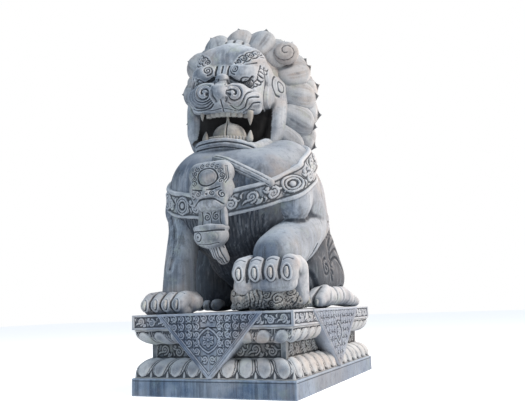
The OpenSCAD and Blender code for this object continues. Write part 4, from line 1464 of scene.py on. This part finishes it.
# ---------------------------------------------------------------- mouth
# The open mouth: a row of flat teeth above and below, four fangs, and a domed
# tongue with a line down its middle. All of it is cut from the head's own stone.

mouth_stone = stone("mouth_stone", (0.07, 0.078, 0.085), (0.23, 0.235, 0.235), 0.10, 0.5, 0.0007)


def teeth(name, nodes, count, row, wide, deep, tall, fangs):
    """A row of teeth along an arch, each a rounded block, with a fang at either end."""
    bm = bmesh.new()
    for i in range(count):
        t = 2 * (i + 0.5) / count - 1
        x, y, z = row(t)
        place = Matrix.Translation((x, y, z)) @ Matrix.Rotation(-0.55 * t, 4, "Z")
        block = bmesh.ops.create_cube(
            bm, size=1, matrix=place @ Matrix.Diagonal((wide, deep, tall, 1))
        )
        edges = list({e for v in block["verts"] for e in v.link_edges})
        bmesh.ops.bevel(
            bm, geom=edges, offset=0.0036, segments=3, profile=0.5, affect="EDGES", material=-1
        )
    for x, y, z, length, radius in fangs:
        for vert in bmesh.ops.create_uvsphere(bm, u_segments=24, v_segments=18, radius=1)["verts"]:
            t = math.acos(max(-1, min(1, vert.co.z))) / math.pi
            turn = math.atan2(vert.co.y, vert.co.x)
            wide = radius * math.sin(math.pi * t ** 0.5) ** 0.7
            vert.co = (
                x + wide * math.cos(turn), y + wide * math.sin(turn) + 0.01 * t * t, z + length * t
            )
    bmesh.ops.recalc_face_normals(bm, faces=bm.faces)
    bmesh.ops.transform(bm, matrix=head_turn, verts=bm.verts)
    mesh_piece(name, bm, mouth_stone, nodes, reach=3)


teeth(
    "upper_teeth", ["upper_teeth", "upper_fangs"], 8,
    lambda t: (0.02 + 0.126 * t, -0.258 + 0.05 * t * t, -0.088), 0.0295, 0.022, 0.034,
    [(0.164, -0.262, -0.07, -0.086, 0.018), (-0.126, -0.236, -0.074, -0.048, 0.011)]
)
teeth(
    "lower_teeth", ["lower_teeth", "lower_fangs"], 14,
    lambda t: (0.038 + 0.116 * t, -0.285 + 0.045 * t * t, -0.234), 0.0145, 0.016, 0.034,
    [(0.17, -0.272, -0.252, 0.07, 0.018), (-0.092, -0.262, -0.252, 0.066, 0.018)]
)

tongue = Carving(0.0034)
tongue.egg((32, -205, -216), (100, 74, 86))
tongue.lump((0, -130, -200, 56), (50, -130, -200, 56))
tongue.lump((32, -238, -160, 11), (22, -226, -92, 10))
tongue.skin(3)
tongue.groove(sweep((0.026, -0.126), (0.03, -0.16), (0.034, -0.215)), 0.0065, 0.009)
tongue.finish("tongue", mouth_stone, turn=head_turn, reach=6)

# ---------------------------------------------------------------- lower jaw
# The lower jaw rests on the chest. Its lip is a double roll that bows up in the
# middle and runs back to the cheek rolls.

jaw = Carving(0.0038)
lip = [
    (-152, -205, -266), (-128, -252, -258), (-50, -292, -250), (43, -308, -246),
    (128, -294, -256), (186, -264, -272), (212, -205, -288),
]
for a, b in zip(lip, lip[1:]):
    jaw.lump((*a, 15), (*b, 15))
    jaw.lump((a[0], a[1] + 6, a[2] - 22, 15), (b[0], b[1] + 6, b[2] - 22, 15))
jaw.lump((-120, -225, -282, 40), (30, -262, -272, 40), (186, -218, -284, 40))
jaw.lump((-120, -225, -282, 40), (186, -218, -284, 40), (-150, -40, -270, 58), (200, -40, -270, 58))
jaw.lump((186, -218, -280, 34), (226, -110, -244, 44))
jaw.lump((-140, -215, -280, 34), (-186, -110, -246, 42))
jaw.lump((20, -200, -300, 48), (20, -120, -310, 60))
jaw.skin(3)
seam = sweep(*[(x / 1000, (z - 11) / 1000) for x, y, z in lip], count=50)
jaw.groove(seam, 0.006, 0.009)
jaw.groove(seam - (0, 0.028), 0.007, 0.007)
jaw.groove(sweep((0.176, -0.205), (0.206, -0.212), (0.23, -0.204)), 0.006, 0.006)
# Painted shade: the throat behind the lower lip is marked so that its stone is painted near black.
throat = (jaw.co[:, 1] > -0.245) & (jaw.no[:, 2] > 0.2) & (jaw.co[:, 0] < 0.19)
throat_painted_shade = np.where(throat, 1.2 * np.clip((jaw.co[:, 1] + 0.245) / 0.05, 0, 1), 0)
jaw.finish("lower_jaw", head_stone, turn=head_turn, reach=7, darkening=throat_painted_shade)

# ---------------------------------------------------------------- mane
# Rows of shell-like locks lap over each other round the head. Each is a rounded lobe
# with combed strands that ends in a small point turned outwards.

mane_stone = stone("mane_stone", (0.065, 0.082, 0.11), (0.225, 0.25, 0.28), 0.45, 0.7, 0.0014)
mane_mid = np.array([0.066, 0.140, 0.062])
mane_half = np.array([0.372, 0.235, 0.402])
core = Carving(0.0095)
core.egg(mane_mid * 1000, mane_half * 1000)
core.lump((-150, 40, 190, 150), (150, 40, 190, 150), (0, -30, 270, 150))
core.lump((-200, 90, 290, 118), (-180, 170, 290, 118), (0, 120, 300, 130))
core.lump((330, 90, -130, 88), (290, 170, -150, 100))
core.skin(4)
for k in range(26):
    a = math.radians(-130 + 10 * k)
    out = np.array([math.sin(a), math.cos(a)])
    combed = sweep(mane_mid[[0, 2]] + (0.26, 0.28) * out, mane_mid[[0, 2]] + (0.44, 0.48) * out)
    core.groove(combed, 0.012, 0.007)
core.finish("mane_core", mane_stone, turn=head_turn, reach=5)


def mane_point(lean, spin, swell=1.0):
    """A point on the mane's core: lean goes back from the face and spin round the head, both in
    degrees."""
    a, b = math.radians(lean), math.radians(spin)
    swell += 0.17 * math.exp(-((spin + 55) / 30) ** 2)  # fuller at the upper right
    swell += 0.14 * math.exp(-((spin - 130) / 20) ** 2)  # and at the lower left
    way = np.array([math.sin(a) * math.sin(b), -math.cos(a), math.sin(a) * math.cos(b)])
    front = min(1.0, max(0.0, (124 - lean) / 44))
    forward = np.array([0, -0.064 * front * max(0.0, math.cos(b)) ** 2, 0])
    return mane_mid + swell * mane_half * way + forward


def lock(bm, root, middle, tip, outward, half, thick, strands, twist, fine=(48, 18)):
    """One lock: a lobe along a bowed line from root to tip, its outer side combed into strands."""
    made = bmesh.ops.create_uvsphere(bm, u_segments=fine[0], v_segments=fine[1], radius=1)["verts"]
    co = np.array([v.co for v in made])
    t = np.arccos(np.clip(co[:, 2], -1, 1)) / math.pi
    round_it = np.arctan2(co[:, 1], co[:, 0])
    root, middle, tip = np.array(root), np.array(middle), np.array(tip)
    far = t[:, None]
    line = root * (1 - far) ** 2 + 2 * middle * (far * (1 - far)) + tip * far ** 2
    along = (middle - root) * (1 - far) + (tip - middle) * far
    along /= np.linalg.norm(along, axis=1)[:, None]
    side = np.cross(along, outward)
    side /= np.linalg.norm(side, axis=1)[:, None]
    up = np.cross(side, along)
    body = np.sin(math.pi * np.clip(t / 0.88, 0, 1) ** 0.80) ** 0.62
    body = np.maximum(body, 0.62 * np.clip((1 - t) / 0.42, 0, 1) ** 1.15 * (t > 0.5))
    comb = np.abs(np.sin(strands * round_it / 2 + twist * 3 * t))
    combed = 1 - 0.022 * (1 - comb) ** 1.5 * np.sin(math.pi * t) ** 0.3
    flat = np.sign(np.sin(round_it)) * np.abs(np.sin(round_it)) ** 0.8
    ridge = 1 + 0.16 * np.exp(-((round_it - math.pi / 2) / 0.35) ** 2)
    wide = half * body * combed * np.cos(round_it)
    high = thick * body * combed * flat * ridge
    put(made, line + side * wide[:, None] + up * high[:, None])


def mane_ring(name, rows):
    """Rings of locks. A row is (lean, spins, length, half width, thickness, how far the tips
    stand out)."""
    bm = bmesh.new()
    for lean, spins, length, half, thick, stand in rows:
        for spin in spins:
            a, back = math.radians(spin), math.radians(lean)
            outward = np.array([math.sin(a), -0.25, math.cos(a)])
            if lean > 120:  # on the back of the head
                outward = np.array([math.sin(a), 0, math.cos(a)]) * math.sin(back)
                outward[1] = -math.cos(back)
            root = mane_point(lean - length * 0.55, spin, 0.92)
            middle = mane_point(lean + length * 0.35, spin + 4, 1.00)
            tip = mane_point(lean + length * 0.40, spin + 2, 0.97) + stand * outward
            outward /= np.linalg.norm(outward)
            twist = 0.6 + 0.5 * math.sin(3 * spin)
            lock(bm, root, middle, tip, outward, half, thick, 21, twist)
    bmesh.ops.recalc_face_normals(bm, faces=bm.faces)
    bmesh.ops.transform(bm, matrix=head_turn, verts=bm.verts)
    mesh_piece(name, bm, mane_stone, reach=3)


mane_ring("mane_front_locks", [(64, range(-132, 133, 24), 46, 0.092, 0.054, 0.072)])
mane_ring("mane_side_locks", [(90, range(-144, 145, 24), 46, 0.094, 0.054, 0.092)])
mane_ring("mane_back_locks", [
    (114, range(-135, 136, 30), 44, 0.096, 0.050, 0.070),
    (136, range(-150, 151, 33), 42, 0.092, 0.048, 0.060),
    (156, range(0, 360, 51), 40, 0.088, 0.050, 0.056),
    (171, range(30, 390, 72), 36, 0.086, 0.056, 0.058),
])

nape = bmesh.new()
for row in (0, 1):
    for i in (-2, -1, 0, 1, 2):
        root = (middle_x + i * 0.105, 0.118 + row * 0.050 - abs(i) * 0.022, 1.310 - row * 0.110)
        mid = (middle_x + i * 0.112, 0.250 + row * 0.040 - abs(i) * 0.024, 1.255 - row * 0.110)
        tip = (middle_x + i * 0.120, 0.250 + row * 0.045 - abs(i) * 0.026, 1.165 - row * 0.110)
        outward = np.array([0.12 * i, 0.95, 0.25])
        lock(nape, root, mid, tip, outward, 0.066, 0.048, 9, 0.3, (54, 20))
bmesh.ops.recalc_face_normals(nape, faces=nape.faces)
mesh_piece("nape_locks", nape, mane_stone, reach=4)

curl = bmesh.new()
hair = bmesh.ops.create_uvsphere(curl, u_segments=72, v_segments=40, radius=1)["verts"]
co = np.array([v.co for v in hair])
radius = np.hypot(co[:, 0], co[:, 1])
winding = np.arctan2(co[:, 1], co[:, 0]) + 2 * math.pi * 1.6 * radius
step = 1 - 0.09 * (1 - np.abs(np.sin(winding / 2))) ** 2 * (radius > 0.12)
co = co * np.array([0.078, 0.074, 0.036]) * step[:, None]
put(hair, co)
facing = Vector((0.25, -1, 0.15)).to_track_quat("Z", "Y").to_matrix().to_4x4()
lay = Matrix.Translation((0.310, -0.048, 0.318)) @ facing
bmesh.ops.recalc_face_normals(curl, faces=curl.faces)
bmesh.ops.transform(curl, matrix=head_turn @ lay, verts=curl.verts)
mesh_piece("mane_curl", curl, mane_stone, replaces=["mane_front_locks"], reach=5)


# ---------------------------------------------------------------- floor
# A pale floor for the statue to stand on.

ground = bmesh.new()
bmesh.ops.create_grid(ground, x_segments=1, y_segments=1, size=20.0)
floor_mesh = bpy.data.meshes.new("floor")
ground.to_mesh(floor_mesh)
ground.free()
floor = bpy.data.objects.new("floor", floor_mesh)
bpy.context.scene.collection.objects.link(floor)
paint = Shader("pale_floor")
paint.surface.inputs["Base Color"].default_value = (0.86, 0.87, 0.88, 1.0)
paint.surface.inputs["Roughness"].default_value = 0.9
paint.surface.inputs["Emission Color"].default_value = (1.0, 1.0, 1.0, 1.0)
paint.surface.inputs["Emission Strength"].default_value = 0.56
floor_mesh.materials.append(paint.material)
